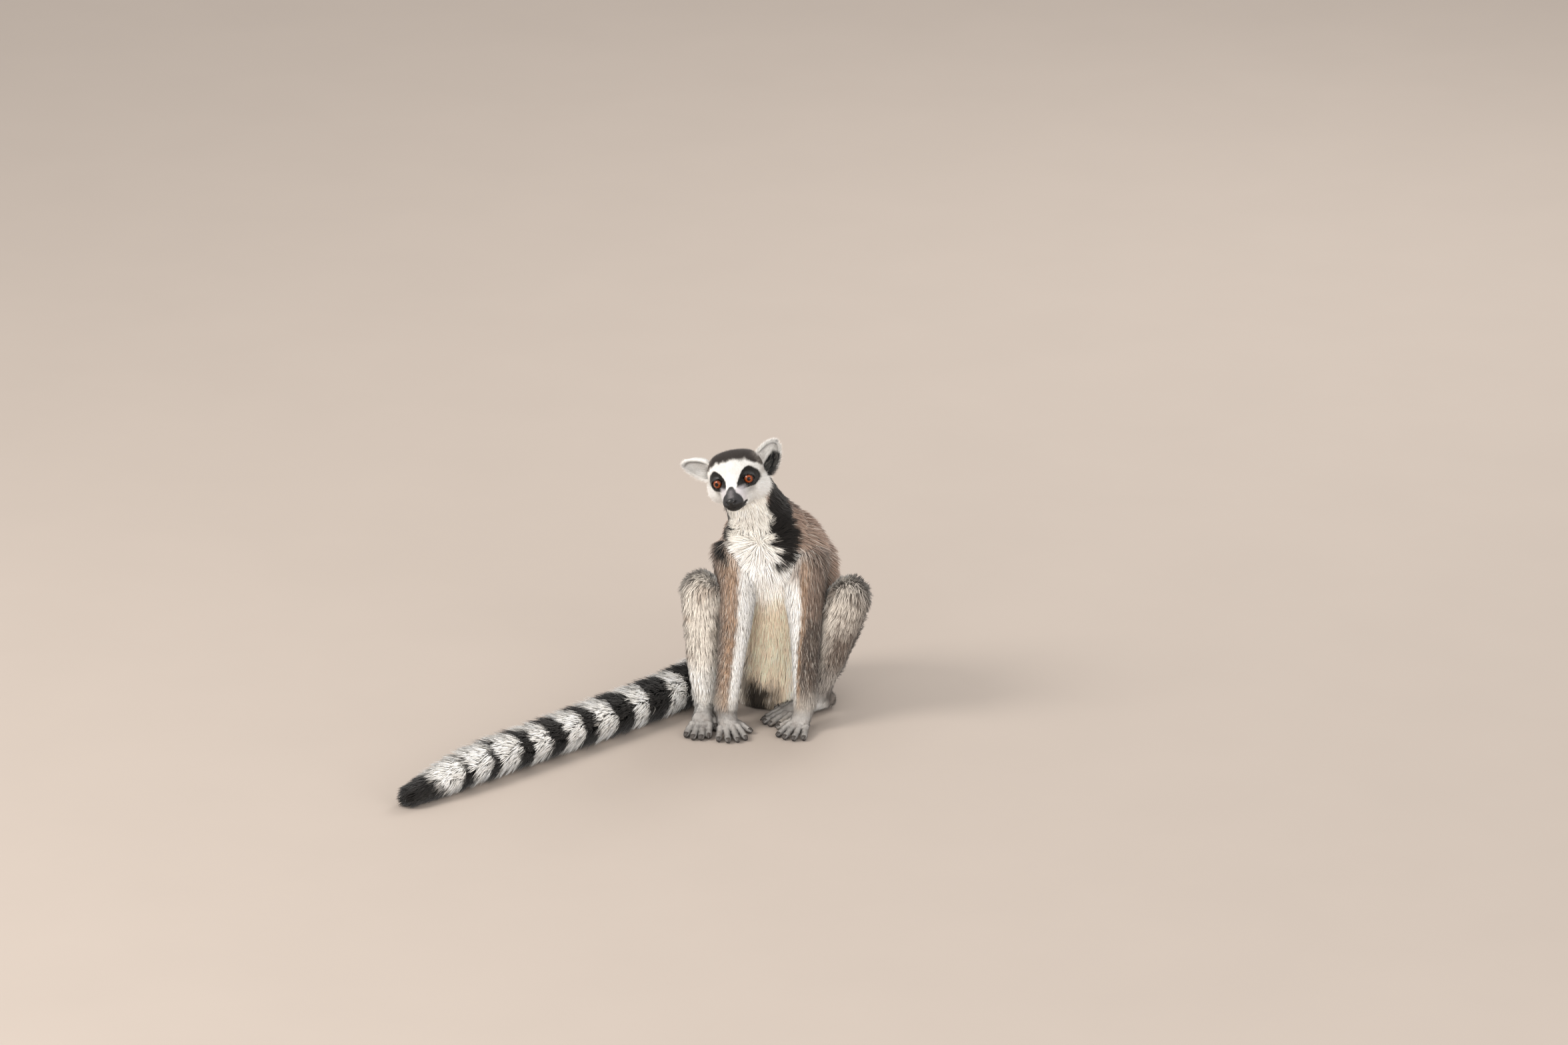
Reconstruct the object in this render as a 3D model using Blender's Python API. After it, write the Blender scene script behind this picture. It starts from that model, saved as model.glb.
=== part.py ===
"""Ring-tailed lemur, life size, seated on a flat floor: its outer shape, out to the tips of its coat.

Row frame: +Z up, -Y the way the chest faces, +X the animal's left. The origin is on the floor under the rump.
Each sub-part is one closed solid. The trunk is built whole with the neck, each limb is built whole, and thin
planar cuts part them into nodes. Where a limb or the tail sits in the trunk, the trunk is cut back to it.
"""

import math

import bmesh
import bpy
from mathutils import Matrix, Vector

# ------------------------------------------------------------------ driving sizes, metres
GAP = 0.0003  # left between neighbouring solids
FLOOR = Vector((0, 0, 0))
DOWN = Vector((0, 0, -1))

# Trunk: centre (x, y, z), half width, half depth, from the seat up to the nape
TRUNK = (
    ((0.000, 0.014, -0.006), 0.056, 0.054),
    ((0.000, 0.017, 0.020), 0.066, 0.062),
    ((0.001, 0.022, 0.055), 0.069, 0.065),
    ((0.002, 0.024, 0.095), 0.072, 0.068),
    ((0.003, 0.018, 0.135), 0.073, 0.067),
    ((0.003, 0.004, 0.170), 0.070, 0.063),
    ((0.001, -0.011, 0.200), 0.062, 0.056),
    ((-0.003, -0.026, 0.225), 0.051, 0.047),
    ((-0.008, -0.037, 0.247), 0.041, 0.040),
    ((-0.015, -0.046, 0.270), 0.036, 0.036),
    ((-0.019, -0.052, 0.290), 0.032, 0.032),
)
NECK_LOW = (Vector((-0.004, -0.028, 0.234)), Vector((-0.15, -0.40, 0.90)))
NECK_HIGH = (Vector((-0.012, -0.045, 0.262)), Vector((-0.20, -0.35, 0.91)))

# Limbs, right then left: the joints' places
SHOULDER = (Vector((-0.039, -0.031, 0.192)), Vector((0.045, -0.028, 0.192)))
ELBOW = (Vector((-0.026, -0.078, 0.125)), Vector((0.052, -0.047, 0.125)))
WRIST = (Vector((-0.029, -0.106, 0.032)), Vector((0.060, -0.074, 0.034)))
HIP = (Vector((-0.041, 0.012, 0.058)), Vector((0.041, 0.026, 0.055)))
KNEE = (Vector((-0.069, -0.074, 0.158)), Vector((0.103, -0.035, 0.156)))
ANKLE = (Vector((-0.063, -0.077, 0.032)), Vector((0.059, -0.018, 0.032)))
HAND_AIM = (Vector((0.45, -0.89, 0)), Vector((-0.10, -1.0, 0)))
FOOT_AIM = (Vector((0.19, -0.98, 0)), Vector((-0.56, -0.83, 0)))
BIG_TOE_SPREAD = (0.35, 0.72)
SIDES = ("right", "left")
# Index to little: place across the knuckles, spread, length
FINGERS = ((0.0095, 0.26, 0.026), (0.0034, 0.08, 0.029), (-0.0034, -0.08, 0.029), (-0.0095, -0.27, 0.025))
TOES = ((0.0095, 0.08, 0.026), (0.0033, 0.0, 0.031), (-0.0033, -0.10, 0.031), (-0.0097, -0.22, 0.026))

# Radii over the coat, root to end
ARM_RADII = (0.0280, 0.0250, 0.0200, 0.0180, 0.0168, 0.0125)
LEG_RADII = (0.0385, 0.0350, 0.0245, 0.0238, 0.0222, 0.0150)

# Head frame: x to its left, -y the way the face looks, z to the crown, with the origin between the eyes
EYES_MIDDLE = Vector((-0.0250, -0.0865, 0.3060))
HEAD_YAW = math.radians(7.5)  # face turned to its left of the chest
HEAD_PITCH = math.radians(9.0)  # face lifted
HEAD_ROLL = math.radians(13.5)  # left ear raised
EYE_CENTRE = Vector((0.0178, 0.0030, 0.0))
EYE_RADIUS = 0.0082
EAR_BASE = (Vector((-0.0335, 0.032, 0.0140)), Vector((0.0330, 0.032, 0.0090)))
EAR_AIM = (Vector((-0.90, 0.20, 0.39)), Vector((0.58, 0.22, 0.78)))
EAR_FACING = (Vector((-0.15, -0.80, -0.55)), Vector((0.42, -0.88, -0.12)))
EAR_LENGTH = 0.039
EAR_HALF_WIDTH = 0.0145
EAR_SUNK = 0.12  # share of its length that lies in the head
EAR_THICKNESS = 0.0032

# Tail: its middle line on the floor, from inside the rump round the right side to the tip
TAIL_LINE = (
    (-0.002, 0.058, 0.034),
    (-0.045, 0.078, 0.027),
    (-0.082, 0.050, 0.0245),
    (-0.090, 0.000, 0.0245),
    (-0.106, -0.055, 0.0245),
    (-0.150, -0.150, 0.0245),
    (-0.205, -0.255, 0.0245),
    (-0.262, -0.362, 0.0230),
    (-0.308, -0.452, 0.0110),
)
TAIL_RADIUS = 0.0290
TAIL_FLATTENING = 0.90  # height over width
TAIL_TIP_TAPER = 0.17  # share of the length that narrows to the tip
TAIL_LENGTHS = 4
TAIL_FIRST_CUT = 0.10  # share of the tail that lies in the rump, before the first of the equal lengths
TAIL_STATIONS = 49

# Each blank: voxel of its remesh, passes of smoothing, triangles it is thinned to
BLANKS = {
    "trunk": (0.0045, 6, 560),
    "head": (0.0022, 6, 1050),
    "arm": (0.0030, 6, 300),
    "leg": (0.0030, 6, 330),
    "hand": (0.0016, 4, 440),
    "foot": (0.0016, 4, 480),
    "tail": (0.0045, 3, 560),
}
ANKLE_AND_WRIST_CUT = 0.006  # how far up the limb the cut lies from the joint

# Colour and roughness of the plain finishes
COATS = {
    "coat_grey": ((0.36, 0.33, 0.30), 0.9),
    "coat_white": ((0.75, 0.72, 0.66), 0.9),
    "coat_dark": ((0.05, 0.045, 0.04), 0.9),
    "eye_amber": ((0.55, 0.16, 0.03), 0.1),
}


# ------------------------------------------------------------------ closed shapes
def frame_at(along, side_hint):
    """Two unit vectors square to a path: one nearest to side_hint, and the one square to both."""
    along = along.normalized()
    side = (side_hint - along * side_hint.dot(along)).normalized()
    return side, along.cross(side)


def tube(bm, stations, side_hint=Vector((1, 0, 0)), sides=20):
    """A closed tube of elliptic rings at (centre, half width, half depth), with a fan at each end."""
    centres = [Vector(s[0]) for s in stations]
    rings = []
    for k, (centre, station) in enumerate(zip(centres, stations)):
        along = centres[min(k + 1, len(centres) - 1)] - centres[max(k - 1, 0)]
        side, other = frame_at(along, side_hint)
        turns = [2 * math.pi * n / sides for n in range(sides)]
        rings.append([
            bm.verts.new(centre + side * station[1] * math.cos(t) + other * station[2] * math.sin(t))
            for t in turns
        ])
    for low, high in zip(rings, rings[1:]):
        for n in range(sides):
            m = (n + 1) % sides
            bm.faces.new((low[n], low[m], high[m], high[n]))
    bm.faces.new(list(reversed(rings[0])))
    bm.faces.new(rings[-1])


def ball(bm, centre, radii, segments=24, rings=16):
    """An ellipsoid with its axes along X, Y and Z."""
    place = Matrix.Translation(Vector(centre)) @ Matrix.Diagonal((*radii, 1))
    bmesh.ops.create_uvsphere(bm, u_segments=segments, v_segments=rings, radius=1, matrix=place)


def smooth_line(points, count):
    """count points on a Catmull-Rom curve through the given points, evenly spaced in its parameter."""
    p = [Vector(q) for q in points]
    p = [p[0] * 2 - p[1]] + p + [p[-1] * 2 - p[-2]]
    spans = len(p) - 3
    found = []
    for n in range(count):
        at = min(n * spans / (count - 1), spans - 1e-9)
        k, t = int(at), at - int(at)
        a, b, c, d = p[k:k + 4]
        found.append(0.5 * (
            2 * b + (c - a) * t + (2 * a - 5 * b + 4 * c - d) * t * t + (3 * b - a - 3 * c + d) * t ** 3
        ))
    return found


def limb_line(root, joint, end, radii):
    """Stations of a two-bone limb: root, mid upper bone, joint, two in the lower bone and its end."""
    lower = end - joint
    centres = (root, root.lerp(joint, 0.5), joint, joint + lower * 0.3, joint + lower * 0.6, end)
    return [(c, r, r) for c, r in zip(centres, radii)]


# ------------------------------------------------------------------ blanks: one skin over many shapes
def mesh_of(obj):
    """The mesh of an object with its modifiers, as the viewport shows it."""
    graph = bpy.context.evaluated_depsgraph_get()
    graph.update()
    return bpy.data.meshes.new_from_object(obj.evaluated_get(graph))


def object_of(name, mesh):
    obj = bpy.data.objects.new(name, mesh)
    bpy.context.scene.collection.objects.link(obj)
    return obj


def blank(kind, shapes, place=None):
    """One closed skin over overlapping shapes: remeshed, smoothed where they meet, and thinned."""
    voxel, smoothing, triangles = BLANKS[kind]
    bm = bmesh.new()
    for shape, *values in shapes:
        shape(bm, *values)
    if place:
        bmesh.ops.transform(bm, matrix=place, verts=bm.verts)
    bmesh.ops.recalc_face_normals(bm, faces=bm.faces)
    raw = bpy.data.meshes.new("raw")
    bm.to_mesh(raw)
    bm.free()
    work = object_of("work", raw)
    union = work.modifiers.new("union", "REMESH")
    union.mode = "VOXEL"
    union.voxel_size = voxel
    blend = work.modifiers.new("blend", "SMOOTH")
    blend.factor = 0.6
    blend.iterations = smoothing
    fine = mesh_of(work)
    work.modifiers.clear()
    work.data = fine
    thin = work.modifiers.new("thin", "DECIMATE")
    thin.ratio = min(1.0, triangles / (2.0 * len(fine.polygons)))
    thin.use_collapse_triangulate = True
    mesh = mesh_of(work)
    bpy.data.objects.remove(work)
    return mesh


def clipped(mesh, planes):
    """What of a closed mesh lies behind each plane (point, outward normal), with every cut capped."""
    bm = bmesh.new()
    bm.from_mesh(mesh)
    for point, normal in planes:
        geometry = bm.verts[:] + bm.edges[:] + bm.faces[:]
        bmesh.ops.bisect_plane(
            bm, geom=geometry, dist=1e-7, plane_co=point, plane_no=normal, clear_outer=True
        )
        bmesh.ops.holes_fill(bm, edges=[e for e in bm.edges if e.is_boundary], sides=0)
    bmesh.ops.triangulate(bm, faces=[f for f in bm.faces if len(f.verts) > 3])
    bmesh.ops.recalc_face_normals(bm, faces=bm.faces)
    cut = bpy.data.meshes.new("cut")
    bm.to_mesh(cut)
    bm.free()
    return cut


def lengths(mesh, cuts):
    """A mesh parted by planes (point, normal along the limb) into lengths, with GAP between them."""
    pieces = []
    for k in range(len(cuts) + 1):
        planes = []
        if k > 0:
            point, normal = cuts[k - 1]
            planes.append((point + normal.normalized() * GAP / 2, -normal))
        if k < len(cuts):
            point, normal = cuts[k]
            planes.append((point - normal.normalized() * GAP / 2, normal))
        pieces.append(clipped(mesh, planes))
    return pieces


def on_floor(mesh):
    """The mesh cut flat at the floor."""
    return clipped(mesh, [(FLOOR, DOWN)])


# ------------------------------------------------------------------ nodes
def finish(name, mesh, coat):
    """A named node with its plain finish."""
    obj = object_of(name, mesh)
    obj.data.name = name
    material = bpy.data.materials.get(coat) or bpy.data.materials.new(coat)
    colour, roughness = COATS[coat]
    material.use_nodes = True
    shader = material.node_tree.nodes["Principled BSDF"]
    shader.inputs["Base Color"].default_value = (*colour, 1)
    shader.inputs["Roughness"].default_value = roughness
    shader.inputs["Metallic"].default_value = 0.0
    obj.data.materials.clear()
    obj.data.materials.append(material)
    obj.data.shade_smooth()
    obj.data.set_sharp_from_angle(angle=math.radians(50))
    return obj


def cutter_of(name, mesh):
    """A hidden copy of a mesh, grown by GAP, that cuts its neighbours."""
    cutter = object_of("cut_by_" + name, mesh.copy())
    cutter.hide_render = True
    cutter.display_type = "WIRE"
    grow = cutter.modifiers.new("grow", "DISPLACE")
    grow.mid_level = 0.0
    grow.strength = GAP
    return cutter


def cut_back(obj, cutters):
    """Takes the cutters out of an object."""
    for cutter in cutters:
        cut = obj.modifiers.new(cutter.name, "BOOLEAN")
        cut.operation = "DIFFERENCE"
        cut.solver = "EXACT"
        cut.object = cutter


# ------------------------------------------------------------------ hands and feet
def digit(start, middle, end, radius):
    """A finger or toe: a tube over its knuckle with a rounded pad at its end."""
    sizes = (radius, radius * 0.95, radius * 0.9)
    stations = [(place, size, size) for place, size in zip((start, middle, end), sizes)]
    return [(tube, stations, Vector((0, 0, 1)), 10), (ball, end, (radius * 1.05,) * 3, 10, 8)]


def hand_shapes(wrist, aim, inner):
    """A hand flat on the floor: palm, four spread fingers and a thumb. inner points to the thumb's side."""
    forward = aim.normalized()
    across = (inner - forward * inner.dot(forward)).normalized()

    def at(ahead, side, height):
        return Vector((wrist.x, wrist.y, height)) + forward * ahead + across * side

    palm = [
        (at(-0.005, 0, wrist.z + 0.004), 0.0108, 0.0105),
        (at(0.004, 0, wrist.z - 0.009), 0.0108, 0.0098),
        (at(0.013, 0, 0.0150), 0.0125, 0.0085),
        (at(0.023, 0, 0.0088), 0.0130, 0.0066),
    ]
    shapes = [(tube, palm, across, 14)]
    # index to little finger: side of the knuckle, spread, length
    for side, spread, length in FINGERS:
        ahead = 0.021 - 12 * side * side
        tip_ahead = ahead + length * math.cos(spread)
        tip_side = side + length * math.sin(spread)
        shapes += digit(
            at(ahead - 0.005, side, 0.0098),
            at((ahead + tip_ahead) / 2, (side + tip_side) / 2, 0.0086),
            at(tip_ahead, tip_side, 0.0036),
            0.0038,
        )
    shapes += digit(at(0.008, 0.007, 0.013), at(0.016, 0.017, 0.0085), at(0.023, 0.025, 0.0040), 0.0040)
    return shapes


def foot_shapes(ankle, aim, inner, big_toe):
    """A foot flat on the floor: heel, sole, four toes and a big toe. inner points to the big toe's side."""
    forward = aim.normalized()
    across = (inner - forward * inner.dot(forward)).normalized()

    def at(ahead, side, height):
        return Vector((ankle.x, ankle.y, height)) + forward * ahead + across * side

    sole = [
        (at(-0.017, 0, 0.0110), 0.0080, 0.0090),
        (at(-0.008, 0, 0.0125), 0.0105, 0.0125),
        (at(0.012, 0, 0.0130), 0.0115, 0.0130),
        (at(0.034, 0, 0.0105), 0.0135, 0.0105),
        (at(0.048, 0, 0.0080), 0.0140, 0.0080),
    ]
    shin = [(at(-0.003, 0, ankle.z + 0.004), 0.0125, 0.0125), (at(0.002, 0, 0.0150), 0.0115, 0.0125)]
    shapes = [(tube, sole, across, 14), (tube, shin, across, 14)]
    for side, spread, length in TOES:
        ahead = 0.048 - 15 * side * side
        tip_ahead = ahead + length * math.cos(spread)
        tip_side = side + length * math.sin(spread)
        shapes += digit(
            at(ahead - 0.008, side, 0.0085),
            at((ahead + tip_ahead) / 2, (side + tip_side) / 2, 0.0088),
            at(tip_ahead, tip_side, 0.0040),
            0.0041,
        )
    root = Vector((0.018, 0.007))
    end = root + Vector((math.cos(big_toe), math.sin(big_toe))) * 0.029
    shapes += digit(at(*root, 0.0095), at(*root.lerp(end, 0.5), 0.0080), at(*end, 0.0050), 0.0050)
    return shapes


# ------------------------------------------------------------------ head
def head_matrix():
    """From the head frame to the row frame."""
    face = Vector((
        math.sin(HEAD_YAW) * math.cos(HEAD_PITCH),
        -math.cos(HEAD_YAW) * math.cos(HEAD_PITCH),
        math.sin(HEAD_PITCH),
    ))
    level = Vector((math.cos(HEAD_YAW), math.sin(HEAD_YAW), 0))
    left = level * math.cos(HEAD_ROLL) + face.cross(level) * math.sin(HEAD_ROLL)
    crown = face.cross(left)
    turn = Matrix((left, -face, crown)).transposed().to_4x4()
    return Matrix.Translation(EYES_MIDDLE) @ turn


def head_shapes():
    """Cranium, brow, cheeks, muzzle, jaw and nose, in the head frame."""
    muzzle = (
        ((0, 0.008, -0.0105), 0.0185, 0.0160),
        ((0, -0.005, -0.0118), 0.0165, 0.0146),
        ((0, -0.015, -0.0138), 0.0142, 0.0132),
        ((0, -0.024, -0.0155), 0.0120, 0.0114),
        ((0, -0.0320, -0.0165), 0.0100, 0.0096),
        ((0, -0.0365, -0.0170), 0.0078, 0.0074),
    )
    jaw = (
        ((0, 0.008, -0.0220), 0.0165, 0.0100),
        ((0, -0.010, -0.0228), 0.0128, 0.0082),
        ((0, -0.022, -0.0246), 0.0090, 0.0064),
        ((0, -0.029, -0.0245), 0.0062, 0.0048),
    )
    shapes = [
        (ball, (0, 0.0235, 0.0035), (0.0362, 0.0320, 0.0318)),
        (ball, (0, 0.009, 0.0095), (0.0250, 0.0175, 0.0165)),
        (ball, (0, -0.0368, -0.0145), (0.0064, 0.0042, 0.0052)),
        (tube, muzzle, Vector((1, 0, 0)), 18),
        (tube, jaw, Vector((1, 0, 0)), 18),
    ]
    for side in (-1, 1):
        shapes.append((ball, (side * 0.0170, 0.024, -0.0120), (0.0225, 0.0255, 0.0190)))
        shapes.append((ball, (side * 0.0150, 0.024, 0.0120), (0.0205, 0.0270, 0.0212)))
    return shapes


def ear_mesh(side):
    """A cupped leaf with a wall: arcs across it, from the base to the tip, thickened by Solidify."""
    aim = EAR_AIM[side].normalized()
    across, opening = frame_at(aim, EAR_FACING[side].cross(aim))
    if opening.dot(EAR_FACING[side]) < 0:
        opening = -opening
    rows, columns = 8, 9
    bm = bmesh.new()
    grid = []
    for r in range(rows):
        t = r / (rows - 1)
        width = EAR_HALF_WIDTH * math.sqrt(max(0.0, 1 - ((t - 0.38) / 0.64) ** 2)) + 0.0008
        bend = math.radians(78 - 34 * t)
        hollow = width * (0.95 - 0.45 * t)
        row = []
        for c in range(columns):
            angle = bend * (2 * c / (columns - 1) - 1)
            sideways = width * math.sin(angle) / math.sin(bend)
            depth = hollow * (1 - math.cos(angle)) / (1 - math.cos(bend))
            along = aim * EAR_LENGTH * (t - EAR_SUNK)
            row.append(bm.verts.new(
                EAR_BASE[side] + along + across * sideways + opening * (depth - hollow * 0.6)
            ))
        grid.append(row)
    for low, high in zip(grid, grid[1:]):
        for a, b, c, d in zip(low, low[1:], high[1:], high):
            bm.faces.new((a, b, c, d))
    bmesh.ops.transform(bm, matrix=head_matrix(), verts=bm.verts)
    sheet = bpy.data.meshes.new("ear_sheet")
    bm.to_mesh(sheet)
    bm.free()
    work = object_of("work", sheet)
    wall = work.modifiers.new("wall", "SOLIDIFY")
    wall.thickness = EAR_THICKNESS
    wall.offset = 0.0
    mesh = mesh_of(work)
    bpy.data.objects.remove(work)
    return clipped(mesh, [])


def eye_mesh(side):
    """An eyeball with its poles ahead and behind."""
    centre = Vector((EYE_CENTRE.x * (1 if side else -1), EYE_CENTRE.y, EYE_CENTRE.z))
    bm = bmesh.new()
    place = head_matrix() @ Matrix.Translation(centre) @ Matrix.Rotation(math.radians(90), 4, "X")
    bmesh.ops.create_uvsphere(bm, u_segments=12, v_segments=8, radius=EYE_RADIUS, matrix=place)
    mesh = bpy.data.meshes.new("eye")
    bm.to_mesh(mesh)
    bm.free()
    return mesh


# ------------------------------------------------------------------ the animal
def build_limb(side, joints, radii, kind, end_kind, end_shapes, node_names):
    """One limb and its hand or foot, cut at its joints. Returns the whole limb and the whole hand or foot."""
    root, middle, end = joints
    line = limb_line(root, middle, end, radii)
    limb = blank(kind, [(tube, line), (ball, root, (radii[0],) * 3)])
    last = (end - middle).normalized()
    end_cut = (end - last * ANKLE_AND_WRIST_CUT, last)
    middle_cut = (middle, (middle - root).normalized() + last)
    upper, lower, _ = lengths(limb, [middle_cut, end_cut])
    paw = on_floor(blank(end_kind, end_shapes))
    paw = clipped(paw, [(end_cut[0] + last * GAP / 2, -last)])
    for part, mesh in zip(node_names, (upper, lower, paw)):
        finish(f"{part}_{SIDES[side]}", mesh, "coat_grey")
    return cutter_of(f"{kind}_{SIDES[side]}", limb), cutter_of(f"{end_kind}_{SIDES[side]}", paw)


def build_limbs():
    """Both arms and both legs. Returns the whole shapes that cut the trunk and the tail."""
    cutters = {}
    for side, name in enumerate(SIDES):
        inner = Vector((1 if side == 0 else -1, 0, 0))
        arm, _ = build_limb(
            side, (SHOULDER[side], ELBOW[side], WRIST[side]), ARM_RADII, "arm",
            "hand", hand_shapes(WRIST[side], HAND_AIM[side], inner), ("upper_arm", "forearm", "hand"),
        )
        leg, foot = build_limb(
            side, (HIP[side], KNEE[side], ANKLE[side]), LEG_RADII, "leg",
            "foot", foot_shapes(ANKLE[side], FOOT_AIM[side], inner, BIG_TOE_SPREAD[side]),
            ("thigh", "shank", "foot"),
        )
        for part in ("thigh", "shank"):
            cut_back(bpy.data.objects[f"{part}_{name}"], [arm])
        cutters[name] = (arm, leg, foot)
    return cutters


def build_tail(cutters):
    """The tail in lengths, cut back round the right leg. Returns the whole tail, which cuts the trunk."""
    line = smooth_line(TAIL_LINE, TAIL_STATIONS)
    stations = []
    for k, centre in enumerate(line):
        t = k / (TAIL_STATIONS - 1)
        root = 0.66 + 0.34 * min(1.0, t / 0.16)
        tip = math.sqrt(max(0.0, min(1.0, (1 - t) / TAIL_TIP_TAPER))) * 0.9 + 0.1
        radius = TAIL_RADIUS * root * tip
        stations.append((centre, radius, radius * TAIL_FLATTENING))
    tail = on_floor(blank("tail", [(tube, stations, Vector((1, -0.4, 0)), 20)]))
    cuts = []
    for k in range(1, TAIL_LENGTHS):
        share = TAIL_FIRST_CUT + (1 - TAIL_FIRST_CUT) * k / TAIL_LENGTHS
        at = round(share * TAIL_STATIONS)
        cuts.append((line[at], line[at + 1] - line[at - 1]))
    for k, mesh in enumerate(lengths(tail, cuts)):
        length = finish(f"tail_{k + 1}", mesh, "coat_white" if k % 2 else "coat_dark")
        if k < 2:
            cut_back(length, cutters)
    return cutter_of("tail", tail)


def build_head():
    """Head, ears and eyes, above the upper neck cut."""
    place = head_matrix()
    inverse = place.inverted()
    neck = [(inverse @ Vector(c), w, d) for c, w, d in TRUNK[7:]]
    head = blank("head", [*head_shapes(), (tube, neck, inverse.to_3x3() @ Vector((1, 0, 0)), 20)], place)
    point, normal = NECK_HIGH
    head = clipped(head, [(point + normal.normalized() * GAP / 2, -normal)])
    solid = finish("head", head, "coat_white")
    head_cutter = cutter_of("head", head)
    sockets = []
    for side, name in enumerate(SIDES):
        eye = finish("eye_" + name, eye_mesh(side), "eye_amber")
        sockets.append(cutter_of("eye_" + name, eye.data))
        ear = finish("ear_" + name, ear_mesh(side), "coat_white")
        cut_back(ear, [head_cutter])
    cut_back(solid, sockets)


def build_trunk(cutters):
    """Trunk and neck, cut back round the limbs and the tail, with a flat seat."""
    whole = on_floor(blank("trunk", [(tube, TRUNK, Vector((1, 0, 0)), 24)]))
    trunk, neck, _ = lengths(whole, [NECK_LOW, NECK_HIGH])
    finish("neck", neck, "coat_white")
    cut_back(finish("trunk", trunk, "coat_grey"), cutters)


def main():
    for obj in list(bpy.data.objects):
        bpy.data.objects.remove(obj)
    limbs = build_limbs()
    _, leg, foot = limbs["right"]
    tail = build_tail([leg, foot])
    build_trunk([*limbs["right"], *limbs["left"], tail])
    build_head()


main()
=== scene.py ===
"""Ring-tailed lemur, life size, seated on a flat floor with its tail laid forward.

It makes the skin, coat, eyes, nails and stage. Row frame: +Z up, -Y the way the chest faces, +X the animal's
left, metres. Head frame: x to its left, -y the way the face looks, z to the crown, origin between the eyes.
"""

import math

import bpy
import numpy as np
from bpy.props import FloatProperty, FloatVectorProperty, PointerProperty
from mathutils import Matrix


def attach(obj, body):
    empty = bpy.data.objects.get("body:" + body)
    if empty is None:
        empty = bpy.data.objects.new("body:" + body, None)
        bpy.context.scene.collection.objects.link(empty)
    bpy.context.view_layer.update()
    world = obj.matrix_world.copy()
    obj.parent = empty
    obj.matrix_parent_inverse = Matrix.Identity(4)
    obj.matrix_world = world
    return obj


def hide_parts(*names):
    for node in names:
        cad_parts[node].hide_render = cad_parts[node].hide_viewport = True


bl_info = {
    "name": "Ring-tailed Lemur",
    "version": (1, 0, 0),
    "blender": (4, 5, 0),
    "location": "3D View > Sidebar > Lemur",
    "description": "A seated ring-tailed lemur in skin and solid tufts of fur",
    "category": "Add Mesh",
}

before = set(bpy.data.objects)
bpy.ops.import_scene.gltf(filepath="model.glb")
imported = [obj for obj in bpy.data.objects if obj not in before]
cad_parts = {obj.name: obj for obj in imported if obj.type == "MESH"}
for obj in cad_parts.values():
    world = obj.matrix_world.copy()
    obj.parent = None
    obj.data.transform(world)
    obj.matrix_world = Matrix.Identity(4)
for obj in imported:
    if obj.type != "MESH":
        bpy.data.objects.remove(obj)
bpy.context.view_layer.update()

# ---------------------------------------------------- the body's driving sizes, as in the CAD source
TRUNK = np.array([  # centre (x, y, z), half width, half depth over the coat, from the seat up to the nape
    (0.000, 0.014, -0.006, 0.056, 0.054),
    (0.000, 0.017, 0.020, 0.066, 0.062),
    (0.001, 0.022, 0.055, 0.069, 0.065),
    (0.002, 0.024, 0.095, 0.072, 0.068),
    (0.003, 0.018, 0.135, 0.073, 0.067),
    (0.003, 0.004, 0.170, 0.070, 0.063),
    (0.001, -0.011, 0.200, 0.062, 0.056),
    (-0.003, -0.026, 0.225, 0.051, 0.047),
    (-0.008, -0.037, 0.247, 0.041, 0.040),
    (-0.015, -0.046, 0.270, 0.036, 0.036),
    (-0.019, -0.052, 0.290, 0.032, 0.032)])
TRUNK_COAT = np.array([  # depth of the coat at each of those
    0.010, 0.012, 0.013, 0.013, 0.013, 0.012, 0.011, 0.010, 0.009, 0.009, 0.008])
SIDES = ("right", "left")
SHOULDER = np.array([(-0.039, -0.031, 0.192), (0.045, -0.028, 0.192)])
ELBOW = np.array([(-0.026, -0.078, 0.125), (0.052, -0.047, 0.125)])
WRIST = np.array([(-0.029, -0.106, 0.032), (0.060, -0.074, 0.034)])
HIP = np.array([(-0.041, 0.012, 0.058), (0.041, 0.026, 0.055)])
KNEE = np.array([(-0.069, -0.074, 0.158), (0.103, -0.035, 0.156)])
ANKLE = np.array([(-0.063, -0.077, 0.032), (0.059, -0.018, 0.032)])
HAND_AIM = np.array([(0.45, -0.89, 0), (-0.10, -1.0, 0)])
FOOT_AIM = np.array([(0.19, -0.98, 0), (-0.56, -0.83, 0)])
BIG_TOE_SPREAD = (0.35, 0.72)
FINGERS = (  # how far inward each starts, its turn inward in radians, its length
    (0.0095, 0.26, 0.026), (0.0034, 0.08, 0.029), (-0.0034, -0.08, 0.029), (-0.0095, -0.27, 0.025))
TOES = ((0.0095, 0.08, 0.026), (0.0033, 0.0, 0.031), (-0.0033, -0.10, 0.031), (-0.0097, -0.22, 0.026))
FINGER_BOW, TOE_BOW = 12, 15  # how much the outer knuckles stand back: this times the square of how far out
SOLE = (  # ahead of the ankle, height, half width, half height
    (-0.017, 0.0105, 0.0074, 0.0082), (-0.008, 0.0120, 0.0095, 0.0112), (0.012, 0.0122, 0.0105, 0.0104),
    (0.034, 0.0098, 0.0124, 0.0092), (0.048, 0.0074, 0.0128, 0.0068))
ARM_SKIN = (0.0195, 0.0180, 0.0138, 0.0126, 0.0114, 0.0098)  # radii root to end, bare of the coat
LEG_SKIN = (0.0300, 0.0268, 0.0180, 0.0178, 0.0162, 0.0112)
LIMBS = {"arm": ((SHOULDER, ELBOW, WRIST), ARM_SKIN), "leg": ((HIP, KNEE, ANKLE), LEG_SKIN)}
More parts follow.
